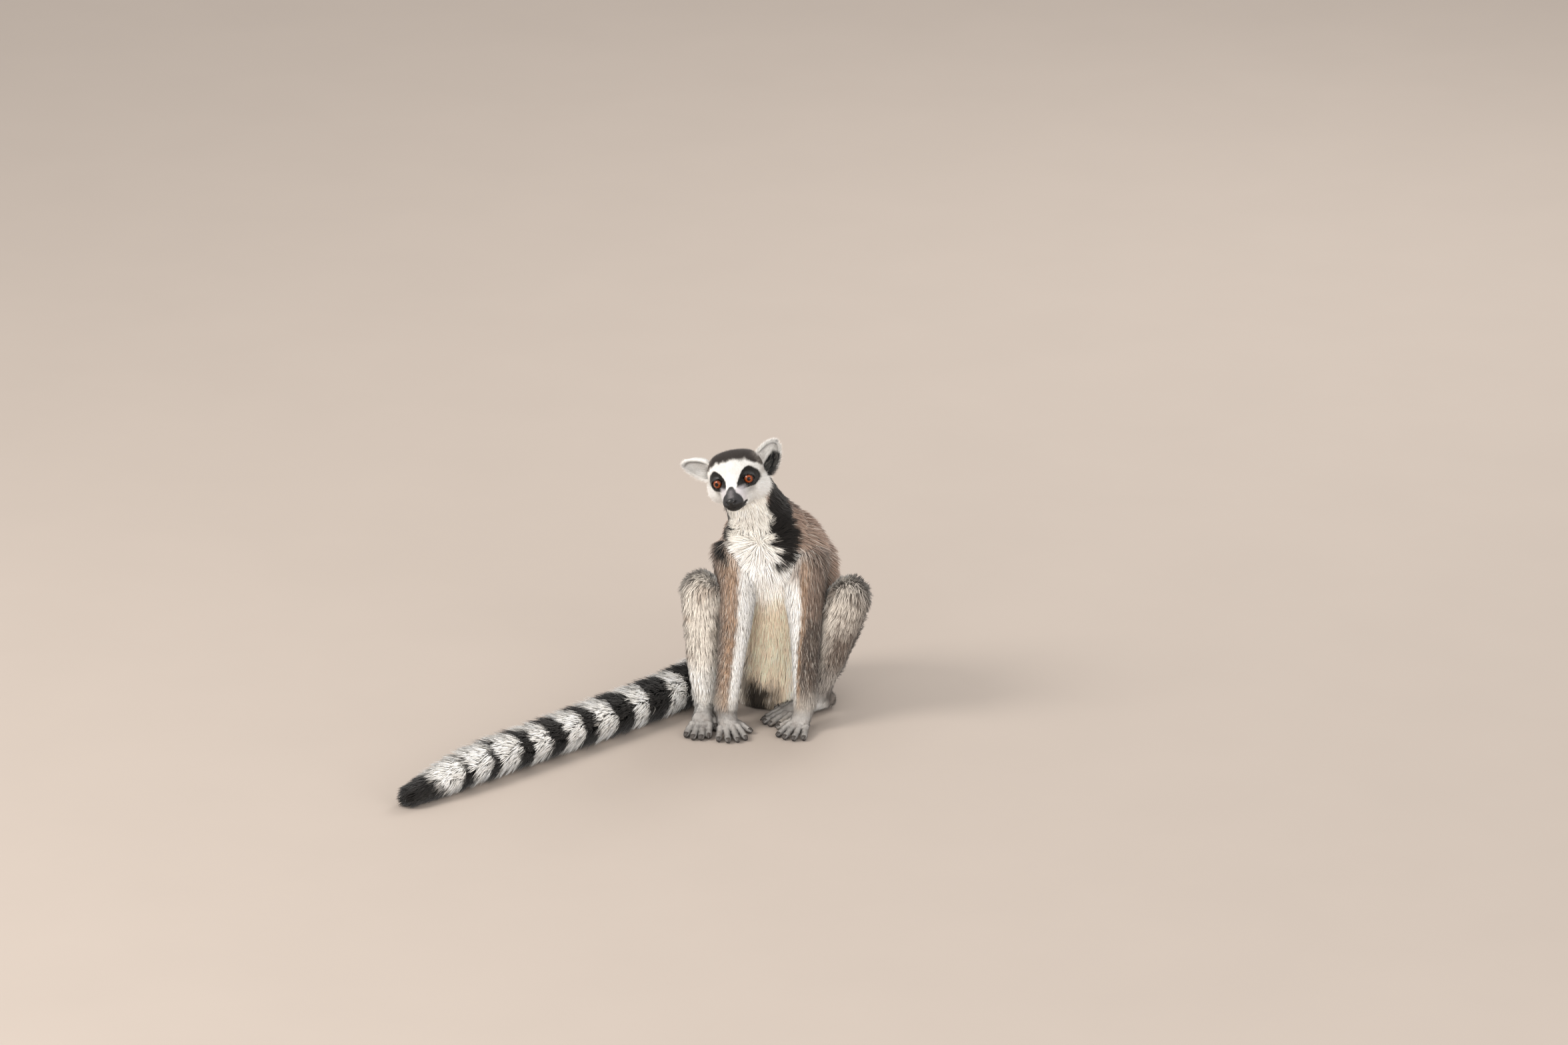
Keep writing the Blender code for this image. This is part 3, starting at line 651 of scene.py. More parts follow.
def head_markings(p, shade):
    """White face, dark cap, black lozenges round the eyes, dark muzzle and lips: sums in head millimetres."""
    q = to_head(p) * 1000
    wobble = (noise(p, 0.004, 3) - 0.5) * 1.6
    x, y, z = q.T
    ax = np.abs(x)
    c = np.tile(shade["white"], (len(p), 1))

    def lay(colour, amount):
        """Lays a shade over the head."""
        nonlocal c
        c = over(c, shade[colour], amount)

    lay("chest", 0.7 * ease(z, -18, -28) * ease(y, -14, -6))
    cap = np.interp(ax, (0, 9, 18, 21, 29, 36), (23.5, 22.6, 22.0, 20.0, 15, 6)) - np.maximum(y - 26, 0) * 2.4
    lay("crown", ease(z - cap + 1.5 * wobble, -1.3, 1.8))
    lay("grey", 0.35 * ease(ax, 20, 27) * ease(y, 8, 20) * ease(z, -6, 6))
    u, v = ax - PATCH_MIDDLE[0], z - PATCH_MIDDLE[1]
    bearing = np.degrees(np.arctan2(v, u))
    ring = np.hypot(u, v) / np.interp(bearing, *zip(*PATCH_REACH))
    front = ease(y, 22, 14)
    lay("muzzle", 0.55 * np.exp(-(((ax - 19) / 5.5) ** 2 + ((z + 12.5) / 5.0) ** 2)) * front)
    lay("black", ease(ring + wobble * 0.04, 1.05, 0.93) * front)
    half = np.interp(-z, (1.0, 3.4, 7, 14, 18, 22), (0, 2.4, 5.2, 7.2, 9.0, 11.5))
    lay("lilac", 0.85 * ease(ax, 18, 11) * ease(z, -3, -7) * ease(z, -24, -20) * ease(y, -3, -9))
    lay("muzzle", ease(ax - half + wobble * 0.4, 1.2, -1.0) * ease(y, -7, -10) * ease(z, -2.2, -3.6))
    lay("muzzle", ease(y + 0.45 * (z + 20) + wobble * 0.4, -23.0, -26.5))
    # A paler line down the top of the dark muzzle: painted highlight on its ridge.
    lay("lilac", 0.22 * np.exp(-(x / 3.2) ** 2) * ease(z, -4, -8) * ease(z, -17, -12) * ease(y, -7, -12))
    off_mouth = np.abs(z + 26.0 - 0.15 * np.maximum(y + 26, 0))
    lips = ease(off_mouth - np.interp(y, (-34, -24, -12, -9), (3.6, 3.0, 2.0, 0)), 0.8, -0.6)
    lay("black", lips * ease(y, -9, -12))
    lay("black", ease(z, -27, -29) * ease(y, -18, -23))
    lay("leather", ease(nose_pad(q / 1000), 1.1, 0.95))
    return c


def ear_markings(p, shade):
    """White ears, grey and dark within: how far a point lies inside the cup, and low on its outer side."""
    c = np.tile(shade["white"], (len(p), 1))
    for left, side in enumerate(SIDES):
        shell = PART[f"ear_{side}"].beads[0]
        q = shell.local(p) * 1000
        across, ahead, along = q.T
        reach = 1.02 + left * (0.08 + 0.16 * ease(ahead, -3.0, 0.0))
        inner = ease(shell.reach(q / 1000), reach, reach - 0.09) * (np.linalg.norm(q, axis=1) < 32)
        inner = inner * ease(along, -26, -18)
        drawn = np.stack([across * 2.2 + along * 0.4, ahead, along * 0.35], 1)  # long up the ear
        streak = ease(noise(drawn, 2.2, 9), 0.48, 0.66)
        if left:
            low_side = ease(across - 0.12 * along, 1.2, 4.4) * ease(along, 15, 10)
        else:
            low_side = 0.55 * ease(-across, 0.0, 4.0) * ease(along, 2, -7)
        dark = inner * np.clip((0.06 + 0.16 * left) * streak + 0.95 * low_side, 0, 1)
        c = over(c, shade["leather"], dark)
    return c


BANDS = (  # black strokes from behind each cheek down to the armpit, then two spots: points and radii
    (((0.010, -0.034, 0.293), (0.0220, -0.046, 0.268), (0.0285, -0.053, 0.248), (0.036, -0.052, 0.231),
      (0.036, -0.052, 0.214), (0.034, -0.055, 0.203), (0.024, -0.060, 0.189)),
     (0.0175, 0.0195, 0.0185, 0.0145, 0.0130, 0.0120, 0.0090)),
    (((-0.0445, -0.047, 0.253), (-0.0470, -0.049, 0.239), (-0.0505, -0.048, 0.224), (-0.0535, -0.047, 0.211),
      (-0.0535, -0.053, 0.201), (-0.0455, -0.062, 0.190), (-0.036, -0.070, 0.181), (-0.024, -0.0735, 0.1745)),
     (0.0130, 0.0155, 0.0140, 0.0120, 0.0100, 0.0075, 0.0062, 0.0048)),
    (((-0.0235, -0.0800, 0.1630), (-0.0222, -0.0835, 0.1570)), (0.0045, 0.0038)),
    (((-0.0212, -0.0905, 0.1450), (-0.0205, -0.0925, 0.1405)), (0.0037, 0.0030)))


def round_trunk(p):
    """Degrees round the trunk from its front, above 0 to the left: a point's angle off its middle."""
    middle = [np.interp(p[:, 2], TRUNK[:, 2], TRUNK[:, k]) for k in (0, 1)]
    return np.degrees(np.arctan2(p[:, 0] - middle[0], -(p[:, 1] - middle[1])))


def trunk_markings(p, rough, fine, shade):
    """White front to cream belly, brown-grey back, dark nape and black at the seat, by height and angle
    round. The black at the seat is partly the bare black skin there and partly painted shadow in the gap
    between the legs.
    """
    z = p[:, 2]
    bearing = round_trunk(p)
    around = np.abs(bearing)
    back = over(shade["taupe"], shade["rufous"], ease(around, 85, 135) * 0.8 + 0.25 * rough)
    back = over(back, shade["grey"], 0.55 * ease(z, 0.09, 0.03))
    front = over(shade["white"], shade["chest"], ease(z, 0.20, 0.235))
    front = over(front, shade["cream"], ease(z + 0.012 * rough, 0.180, 0.120))
    navel = np.exp(-((z - 0.130) / 0.025) ** 2) * ease(around, 34, 12)
    front = over(front, shade["taupe"], 0.10 * ease(fine, 0.2, 0.7) + 0.12 * navel)
    front = over(front, shade["white"], 0.75 * ease(around, 20, 40) * ease(z, 0.20, 0.14))
    edge = np.interp(z, (0, 0.06, 0.14, 0.20, 0.24, 0.28), (46, 58, 64, 60, 56, 60))
    edge = edge + 30 * ease(z, 0.215, 0.245) * (bearing < 0)
    trunk = over(front, back, ease(around + 5 * rough + 4 * fine, edge - 5, edge + 7))
    trunk = over(trunk, shade["crown"], ease(z, 0.236, 0.262) * ease(around + 6 * rough, 104, 128))
    # Black at the seat: partly the bare black skin, partly painted shadow in the gap between the legs.
    seat = ease(z + 0.006 * rough + 0.004 * fine, 0.046, 0.024)
    seat = seat * ease(np.abs(bearing + 9) + 8 * rough + 4 * fine, 36, 8)
    return over(trunk, shade["black"], seat * 0.97)


def bend_share(a, b, c):
    """The share of a limb's length, from a by b to c, at which b lies."""
    return np.linalg.norm(b - a) / (np.linalg.norm(b - a) + np.linalg.norm(c - b))


def round_limb(p, left, joints, share):
    """The share at a limb's bend, and degrees round it at each point: 0 inward, 90 in front, 180 outward."""
    a, b, c = (joint[left] for joint in joints)
    bend = bend_share(a, b, c)
    on_line = np.where(share[:, None] < bend, mix(a, b, np.clip(share / bend, 0, 1)[:, None]),
                       mix(b, c, np.clip((share - bend) / (1 - bend), 0, 1)[:, None]))
    off = p - on_line
    turn = np.degrees(np.arctan2(-off[:, 1], off[:, 0] * (-1.0 if left else 1.0)))
    return bend, np.where(turn < -90, turn + 360, turn)


def arm_markings(p, left, share, rough, fine, shade):
    """Grey-brown outside, an orange stripe in front and white inside. The left arm is speckled, and darker
    toward the hand: painted shade on the side away from the light.
    """
    bend, turn = round_limb(p, left, LIMBS["arm"][0], share)
    lower = ease(share, bend - 0.06, bend + 0.04)
    own = over(shade["taupe"], shade["grey"], 0.35 + 0.65 * lower)
    if left:
        # The left arm darkened, most toward the hand: painted shade on the side away from the light.
        own = own * mix(0.88, 0.55, lower)[:, None]
        fringe, breadth, white_edge = mix(102, 66, ease(share, 0.30, 0.92)), mix(13, 9, lower), (4, 18)
    else:
        fringe, breadth, white_edge = 91, 32, (18, 42)
    speckled = ease(fine, 0.1 - 0.5 * left, 0.5) * mix(0.6 * left, 1.0, lower)
    own = over(own, shade["speck"], (0.45 + 0.25 * left) * speckled)
    stripe = np.exp(-((turn - fringe - 9 * rough) / breadth) ** 2) * (0.60 + 0.35 * fine)
    own = over(own, shade["orange"], stripe)
    inner = ease(turn + 6 * fine, fringe - white_edge[0], fringe - white_edge[1])
    return over(own, shade["white"], inner * ease(turn, -80, -55) * ease(share, 0.05, 0.20))


def leg_markings(p, left, share, rough, fine, shade):
    """Pale and speckled, grey behind and white inside and at the ankle. The left leg is greyer and its shank
    dark outside: painted shade on the side away from the light.
    """
    bend, turn = round_limb(p, left, LIMBS["leg"][0], share)
    speck = ease(noise(p, 0.0055, 12) + 0.25 * rough, 0.62, 0.74)
    own = over(shade["thigh"], shade["speck"], (0.50 + 0.22 * left) * speck)
    own = over(own, shade["orange"], (0.30 + 0.20 * left) * ease(noise(p, 0.016, 14), 0.60, 0.78))
    # The whole left leg greyer: painted shade on the side away from the light.
    own = mix(own, shade["grey"], 0.24 * left)
    behind = ease(turn, 120, 165) * mix(0.8, 0.5, ease(share, bend - 0.22, bend - 0.08))
    own = over(own, shade["grey"], behind)
    # The left shank dark outside: painted shade on the side away from the light.
    if left:
        low = ease(share, bend - 0.10, bend + 0.02) * ease(turn + 12 * rough, 62, 104)
        low = low * ease(share + 0.04 * fine, 0.58, 0.72)
        own = over(own, mix(shade["grey"], shade["speck"], 0.8), 0.94 * low)
    own = over(own, shade["white"], ease(turn, 25, -10) * ease(turn, -88, -60) * 0.9)
    own = over(own, shade["white"], 0.85 * ease(share, 0.80, 0.94) * (0.35 if left else 1))
    return over(own, shade["grey"], 0.15 * np.exp(-((share - bend) / 0.03) ** 2))


def paw_markings(p, left, share, fine, shade, foot):
    """Pale grey, dark at the ends of the digits and on the soles. A foot is white at the ankle, but for
    painted shade on the left heel.
    """
    own = over(shade["white"] if foot else shade["paw"], shade["paw"], ease(share, 0.2, 0.6))
    own = over(own, shade["speck"], 0.30 * ease(fine, 0.1, 0.6))
    if foot and left:
        # Painted shade on the left heel.
        own = over(own, shade["speck"], 0.85 * ease(share, 0.22, 0.08))  # the heel
    own = over(own, shade["leather"], 0.38 * ease(share, 0.58, 0.95))
    return over(own, shade["leather"], 0.92 * ease(p[:, 2], 0.0052, 0.0022))


def body_markings(p, weights, shade):
    """The trunk's colours, each limb's and paw's own by its weight, and the black shoulder bands."""
    names = by_name(weights)
    rough = (noise(p, 0.012, 5) - 0.5) * 2
    fine = (noise(p, 0.0045, 6) - 0.5) * 2
    colour = trunk_markings(p, rough, fine, shade)
    for left, side in enumerate(SIDES):
        for name in ("arm", "leg", "hand", "foot"):
            share = PART[f"{name}_{side}"].along(p)[0]
            if name == "arm":
                own = arm_markings(p, left, share, rough, fine, shade)
            elif name == "leg":
                own = leg_markings(p, left, share, rough, fine, shade)
            else:
                own = paw_markings(p, left, share, fine, shade, name == "foot")
            colour = over(colour, own, names[f"{name}_{side}"])
    for points, radii in BANDS:
        colour = over(colour, shade["black"], stroke(p + 0.0028 * (rough + fine)[:, None], points, radii))
    return colour


RINGS = 10
RING_START, RING_PITCH = 0.1005, 0.0690  # run along the tail to the first white ring's middle, and the next's
RING_SHRINK = 0.946  # each pitch over the last


def tail_markings(p, share, shade):
    """White rings on black: how far a point is from the nearest ring's middle, against half its width."""
    run = share * TAIL_RUN
    pitch = RING_PITCH * RING_SHRINK ** np.arange(RINGS)
    middle = RING_START + np.concatenate([[0], np.cumsum(pitch[:-1])])
    k = np.abs(run[:, None] - middle).argmin(1)
    wobble = (noise(p, 0.011, 21) - 0.5) * 0.014 + (noise(p, 0.004, 22) - 0.5) * 0.006
    height = p[:, 2] - np.interp(share, np.linspace(0, 1, len(TAIL_CURVE)), TAIL_CURVE[:, 2])
    upper = ease(height, -0.006, 0.008) * ease(run, 0.43, 0.57)  # near the end, white lies over the black
    white = ease(np.abs(run - middle[k] + wobble) - pitch[k] * (0.25 + 0.20 * upper), 0.0022, -0.0022)
    tip = 0.75 * upper * ease(run + wobble, 0.605, 0.612) * ease(run + wobble, 0.636, 0.620)
    c = over(shade["black"], shade["white"], np.maximum(white, tip))
    return over(c, mix(shade["grey"], shade["rufous"], 0.4), ease(run, 0.070, 0.045))


PART_BLEND = 0.0035  # how far a part's weight reaches past the border to its neighbour


def read_body(p):
    """How much each point belongs to each part: weights that sum to 1, less by each part's distance."""
    near = np.stack([part.distance(p, 0.03) for part in PARTS], 1)
    weights = np.exp(-(near - near.min(1, keepdims=True)) / PART_BLEND)
    return weights / weights.sum(1, keepdims=True)


def markings(p, weights, shade):
    """The coat's colour at a root: body, tail, ear and head markings, mixed by the part weights."""
    names = by_name(weights)
    tail = tail_markings(p, PART["tail"].along(p)[0], shade)
    colour = over(body_markings(p, weights, shade), tail, ease(names["tail"], 0.3, 0.7))
    ears = names["ear_right"] + names["ear_left"]
    head = names["head"] + ears
    ear_share = ease(ears / np.maximum(head, 1e-6), 0.3, 0.7)
    face = over(head_markings(p, shade), ear_markings(p, shade), ear_share)
    return over(colour, face, ease(head, 0.25, 0.75))


# ---------------------------------------------------- meshes and materials
def make_mesh(name, vertices, faces):
    """A smooth-shaded mesh object at the origin from whole arrays of vertices and equal-sided faces."""
    mesh = bpy.data.meshes.new(name)
    mesh.vertices.add(len(vertices))
    mesh.vertices.foreach_set("co", np.ascontiguousarray(vertices, np.float32).ravel())
    mesh.loops.add(faces.size)
    mesh.loops.foreach_set("vertex_index", np.ascontiguousarray(faces, np.int32).ravel())
    mesh.polygons.add(len(faces))
    mesh.polygons.foreach_set("loop_start", np.arange(0, faces.size, faces.shape[1], dtype=np.int32))
    mesh.polygons.foreach_set("use_smooth", np.ones(len(faces), bool))
    mesh.update(calc_edges=True)
    piece = bpy.data.objects.new(name, mesh)
    bpy.context.scene.collection.objects.link(piece)
    return piece


def read_mesh(piece):
    """A triangle mesh's vertices and faces as arrays."""
    mesh = piece.data
    vertices = np.empty(len(mesh.vertices) * 3, np.float32)
    mesh.vertices.foreach_get("co", vertices)
    faces = np.empty(len(mesh.loops), np.int32)
    mesh.loops.foreach_get("vertex_index", faces)
    return vertices.reshape(-1, 3).astype(float), faces.reshape(-1, 3)


def paint(piece, name, colours):
    """Stores a colour at each vertex."""
    layer = piece.data.color_attributes.new(name, "FLOAT_COLOR", "POINT")
    opaque = np.column_stack([colours, np.ones(len(colours))])
    layer.data.foreach_set("color", opaque.astype(np.float32).ravel())


def store(piece, name, values):
    """Stores a number at each vertex."""
    layer = piece.data.attributes.new(name, "FLOAT", "POINT")
    layer.data.foreach_set("value", np.asarray(values, np.float32))


def add_uv(piece, name, uv):
    """Stores a UV map given for each face corner."""
    piece.data.uv_layers.new(name=name).data.foreach_set("uv", np.ascontiguousarray(uv, np.float32).ravel())


def join(tree, node, inputs):
    """Sets or links a node's inputs, given by name or number."""
    for key, value in inputs.items():
        if isinstance(value, bpy.types.NodeSocket):
            tree.links.new(value, node.inputs[key])
        else:
            node.inputs[key].default_value = value


def add(tree, kind, inputs=None, **settings):
    """One node, with its settings and inputs."""
    made = tree.nodes.new(kind)
    for key, value in settings.items():
        setattr(made, key, value)
    join(tree, made, inputs or {})
    return made


def spread(tree, value, low, high, **limits):
    """A number from 0 to 1 spread from low to high, or from its own limits."""
    inputs = {"Value": value, "To Min": low, "To Max": high}
    inputs.update({f"From {name.title()}": limit for name, limit in limits.items()})
    return add(tree, "ShaderNodeMapRange", inputs).outputs[0]


def dye(tree, colour, tint):
    """A colour multiplied by a tint that changes over the surface."""
    return add(tree, "ShaderNodeVectorMath", {0: colour, "Scale": tint}, operation="SCALE").outputs["Vector"]


def group(name, inputs, outputs, build):
    """A shader node group with named sockets, filled by build(tree, inputs), which returns its outputs."""
    tree = bpy.data.node_groups.get(name)
    if tree:
        return tree
    tree = bpy.data.node_groups.new(name, "ShaderNodeTree")
    for key, (kind, value) in inputs.items():
        socket = tree.interface.new_socket(name=key, in_out="INPUT", socket_type=kind)
        if value is not None:
            socket.default_value = value
    for key, kind in outputs.items():
        tree.interface.new_socket(name=key, in_out="OUTPUT", socket_type=kind)
    start, end = tree.nodes.new("NodeGroupInput"), tree.nodes.new("NodeGroupOutput")
    for key, socket in build(tree, start.outputs).items():
        tree.links.new(socket, end.inputs[key])
    return tree


def build_strands(tree, given):
    """Fine hairs side by side along a tuft: noise drawn out along V, as a tint and a height."""
    uv = add(tree, "ShaderNodeMapping", {"Vector": given["Vector"], "Scale": (7.0, 0.8, 1.0)})
    grain = {"Vector": uv.outputs[0], "Scale": 1.0, "Detail": 2.0, "Roughness": 0.6}
    lines = add(tree, "ShaderNodeTexNoise", grain).outputs["Fac"]
    tint = spread(tree, lines, given["Darkest"], given["Lightest"], min=0.3, max=0.7)
    return {"Colour": dye(tree, given["Colour"], tint), "Height": lines}


def build_mottle(tree, given):
    """Skin grain: small cells for the creases and broad noise for the tint."""
    place = given["Vector"]
    cells = add(tree, "ShaderNodeTexVoronoi", {"Vector": place, "Scale": given["Grain"]}, feature="F1")
    cloud = add(tree, "ShaderNodeTexNoise", {"Vector": place, "Scale": given["Patches"], "Detail": 4.0})
    cloud = cloud.outputs["Fac"]
    tint = spread(tree, cloud, given["Darkest"], 1.12, min=0.3, max=0.7)
    return {"Colour": dye(tree, given["Colour"], tint), "Height": cells.outputs["Distance"], "Patches": cloud}


NUMBER, COLOUR, VECTOR = "NodeSocketFloat", "NodeSocketColor", "NodeSocketVector"


def strands():
    """The group of hair strands, which every fur uses."""
    inputs = {"Vector": (VECTOR, None), "Colour": (COLOUR, None), "Darkest": (NUMBER, 0.7),
              "Lightest": (NUMBER, 1.2)}
    return group("Hair strands", inputs, {"Colour": COLOUR, "Height": NUMBER}, build_strands)


def mottle():
    """The group of skin grain, which the skin and the nails use."""
    inputs = {"Vector": (VECTOR, None), "Colour": (COLOUR, None), "Grain": (NUMBER, 900.0),
              "Patches": (NUMBER, 90.0), "Darkest": (NUMBER, 0.8)}
    return group("Skin grain", inputs, {"Colour": COLOUR, "Height": NUMBER, "Patches": NUMBER}, build_mottle)


def new_material(name):
    """An empty node material and its Principled shader, joined to the output."""
    material = bpy.data.materials.new(name)
    material.use_nodes = True
    tree = material.node_tree
    tree.nodes.clear()
    shader = tree.nodes.new("ShaderNodeBsdfPrincipled")
    tree.links.new(shader.outputs[0], tree.nodes.new("ShaderNodeOutputMaterial").inputs[0])
    return material, tree, shader


def bumped(tree, height, distance, strength):
    """The normal of a surface raised by a height."""
    bump = add(tree, "ShaderNodeBump", {"Height": height, "Distance": distance, "Strength": strength})
    return bump.outputs[0]


def fur_material(name, darkest, lightest, rough, sheen):
    """Fur: the tuft's own colour streaked by its strands, rough, with a faint sheen."""
    material, tree, shader = new_material(name)
    uv = add(tree, "ShaderNodeUVMap", uv_map="Strand").outputs[0]
    own = add(tree, "ShaderNodeAttribute", attribute_name="Coat").outputs["Color"]
    hair = add(tree, "ShaderNodeGroup", node_tree=strands())
    join(tree, hair, {"Vector": uv, "Colour": own, "Darkest": darkest, "Lightest": lightest})
    height = hair.outputs["Height"]
    join(tree, shader, {
        "Base Color": hair.outputs["Colour"], "Roughness": spread(tree, height, rough - 0.12, rough + 0.12),
        "Specular IOR Level": 0.28, "Sheen Weight": sheen, "Sheen Roughness": 0.5,
        "Normal": bumped(tree, height, 0.0003, 0.6)})
    return material


def skin_material():
    """Skin under the coat and bare leather: painted colour, fine creases, and a wetter nose and lids."""
    material, tree, shader = new_material("Skin")
    place = add(tree, "ShaderNodeTexCoord").outputs["Object"]
    own = add(tree, "ShaderNodeAttribute", attribute_name="Coat").outputs["Color"]
    wet = add(tree, "ShaderNodeAttribute", attribute_name="Wet").outputs["Fac"]
    grain = add(tree, "ShaderNodeGroup", node_tree=mottle())
    join(tree, grain, {"Vector": place, "Colour": own})
    join(tree, shader, {"Base Color": grain.outputs["Colour"], "Roughness": spread(tree, wet, 0.72, 0.34),
                        "Normal": bumped(tree, grain.outputs["Height"], 0.00018, 0.7)})
    return material


# ---------------------------------------------------- skin
def shades(props):
    """The coat's colours as arrays, by name."""
    return {name: np.array(getattr(props, name)) for name in SHADES}


LONG_EDGE, SHORT_EDGE = 0.0060, 0.00135  # the skin's longest edge under the long coat, and on the face
FINEST = 0.68  # of the short edge, round the eyes and nose


def fineness(middle):
    """The longest edge allowed at places of the skin: short on the face, ears, hands and feet."""
    q = to_head(middle)
    face = ease(q[:, 1], 0.030, 0.012) * (np.linalg.norm(q, axis=1) < 0.055)
    ears = [np.linalg.norm(middle - part.beads[0].centre, axis=1) for part in PARTS if "ear" in part.name]
    paws = [part.distance(middle) for part in PARTS if part.name[:4] in ("hand", "foot")]
    near = [face, ease(np.min(ears, 0), 0.030, 0.026) * 0.8, ease(np.min(paws, 0), 0.004, 0.001) * 0.8]
    eyes = np.min([np.linalg.norm(q - centre, axis=1) for centre in EYE_CENTRE], 0)
    finest = (eyes < 0.0115) | ((q[:, 1] < -0.026) & (face > 0))
    return mix(LONG_EDGE, SHORT_EDGE, np.maximum.reduce(near)) * np.where(finest, FINEST, 1.0)


def make_skin(props, colours):
    """One closed skin over the whole animal but its eyes and nails: the zero surface of the body's distance,
    thinned where the coat hides it and refined on the face, ears, hands and feet."""
    field, low = field_grid(props.skin_step)
    rough = make_mesh("skin_rough", *net(field, low, props.skin_step))
    thin = rough.modifiers.new("Thin", "DECIMATE")
    thin.ratio = props.skin_share
    whole = bpy.data.meshes.new_from_object(rough.evaluated_get(bpy.context.evaluated_depsgraph_get()))
    old = rough.data
    rough.data = whole
    vertices, faces = read_mesh(rough)
    bpy.data.objects.remove(rough)
    bpy.data.meshes.remove(old)
    bpy.data.meshes.remove(whole)
    vertices = settled(vertices, 1)
    for _ in range(3):
        vertices, faces = refined(vertices, faces, fineness)
        vertices = settled(vertices, 1)
    vertices = settled(vertices, 2)
    skin = make_mesh("skin", vertices, faces)
    weights = read_body(vertices)
    names = by_name(weights)
    bare = names["head"] + paw_weight(names)
    # Where the coat covers it, the skin takes the coat's colours a quarter darker: painted shade under the
    # locks.
    colour = markings(vertices, weights, colours) * mix(1.0, 0.75, 1 - ease(bare, 0.2, 0.8))[:, None]
    q = to_head(vertices)
    lids = np.zeros(len(vertices))
    for e in from_eyes(q):
        near = (e[:, 2] > 0) & (np.linalg.norm(e, axis=1) < 0.012)
        lids = np.maximum(lids, ease(np.linalg.norm(e[:, :2], axis=1), 0.0092, 0.0080) * near)
    colour = over(colour, colours["leather"] * 0.5, lids)
    # The nose's deepest folds painted darker: painted shade in the nostrils and the creases beside them.
    nostril = ease(relief(vertices), 0.0008, 0.0018) * ease(q[:, 1], -0.030, -0.033)
    colour = over(colour, colours["leather"] * 0.25, nostril)
    paint(skin, "Coat", colour)
    nose = ease(nose_pad(q), 1.05, 0.9) * (np.linalg.norm(q, axis=1) < 0.06)
    store(skin, "Wet", np.maximum(nose, lids * 0.8))
    skin.data.materials.append(skin_material())
    return skin


# ---------------------------------------------------- coat
def roots_on(vertices, faces, density, rng):
    """Evenly spread places on the skin: faces sorted through space, walked in steps of area times density."""
    corner = vertices[faces]
    area = 0.5 * np.linalg.norm(np.cross(corner[:, 1] - corner[:, 0], corner[:, 2] - corner[:, 0]), axis=1)
    middle = corner.mean(1)
    cell = np.floor(middle / 0.006).astype(int)
    cell -= cell.min(0)
    fold = np.where(cell[:, 1] % 2, -cell[:, 2], cell[:, 2])
    order = np.lexsort((fold, cell[:, 1], cell[:, 0]))
    run = np.cumsum((area * density)[order])
    count = int(run[-1])
    at = (np.arange(count) + rng.random(count)) * run[-1] / count
    pick = order[np.minimum(np.searchsorted(run, at), len(order) - 1)]
    a, b = np.sqrt(rng.random(count)), rng.random(count)
    bary = np.stack([1 - a, a * (1 - b), a * b], 1)
    return (corner[pick] * bary[:, :, None]).sum(1)


WHORL = np.array((0.000, -0.068, 0.222))  # where the throat's coat meets the chest's
HAIR = {  # length of the coat by place
    "chest": 0.0225, "flank": 0.029, "neck": 0.0175, "throat": 0.0115, "tail": 0.0310, "upper arm": 0.0200,
    "forearm": 0.0110, "thigh": 0.0185, "shank": 0.0135, "cuff": 0.0125, "wrist": 0.0065, "digits": 0.0032,
    "face": 0.0036, "snout": 0.0016, "crown": 0.0080, "cheek": 0.0125, "jaw": 0.0100, "nape": 0.0130,
    "ear": 0.0045, "ear rim": 0.0070}
CLUMP_CELL = {"trunk": 0.0065, "limb": 0.0042, "head": 0.0028, "tail": 0.0085}  # size of the clumps of locks


def trunk_lie(p, way):
    """Down the trunk and back over its sides, but out from the whorl on the chest. Short on the throat."""
    x, z = p[:, 0], p[:, 2]
    around = np.degrees(np.abs(np.arctan2(x, -(p[:, 1] - np.interp(z, TRUNK[:, 2], TRUNK[:, 1])))))
    side = ease(around, 50, 90)
    way = way + np.array((0, 0.30, 0)) * ease(around, 120, 60)[:, None] * side[:, None]
    radial = p - WHORL
    reach = np.linalg.norm(radial, axis=1)
    above = ease(z, WHORL[2], WHORL[2] + 0.02) * ease(np.abs(x + 0.006), 0.020, 0.010)
    curl = ease(reach, 0.055, 0.022) * ease(around, 95, 65) * (1 - above)
    way = mix(way, unit(radial) + np.array((0, 0, 0.15)), curl[:, None])
    neck = ease(z, 0.215, 0.250)
    throat = ease(z, 0.232, 0.250) * ease(around, 80, 50)
    length = mix(mix(mix(HAIR["chest"], HAIR["flank"], side), HAIR["neck"], neck), HAIR["throat"], throat)
    length = length * mix(1.0, 0.80, ease(z, 0.06, 0.02))
    lift = mix(mix(mix(0.42, 0.46, side), 0.44, neck), 0.34, throat) + 0.16 * curl
    return way, length, lift, mix(mix(0.00112, 0.0015, side), 0.0009, throat)


def leg_lie(part, normal, share):
    """Along the thigh and the shank, and where they meet, square to their hinge: over the kneecap."""
    hip, _, knee, ankle = part.line
    bend = bend_share(hip, knee, ankle)
    thigh, shank = unit(knee - hip), unit(ankle - knee)
    way = mix(thigh, shank, ease(share, bend - 0.18, bend + 0.12)[:, None])
    cap = ease(np.abs(share - bend), 0.20, 0.06) * ease((normal * unit(thigh - shank)).sum(1), -0.1, 0.4)
    way = mix(way, np.cross(unit(np.cross(thigh, shank)), normal), cap[:, None])
    length = mix(HAIR["thigh"], HAIR["shank"], ease(share, 0.2, 0.8))
    return way, length, mix(0.50, 0.46, share), mix(0.0015, 0.0012, share)


def paw_lie(p, share, way):
    """Out along a hand or foot, short but for the cuff above it."""
    cuff = ease(share, 0.30, 0.0) * ease(p[:, 2], 0.012, 0.022)
    length = mix(mix(HAIR["wrist"], HAIR["digits"], ease(share, 0.1, 0.6)), HAIR["cuff"], cuff)
    return way, length, mix(0.26, 0.42, cuff), mix(0.00080, 0.00062, share) * mix(1, 1.25, cuff)


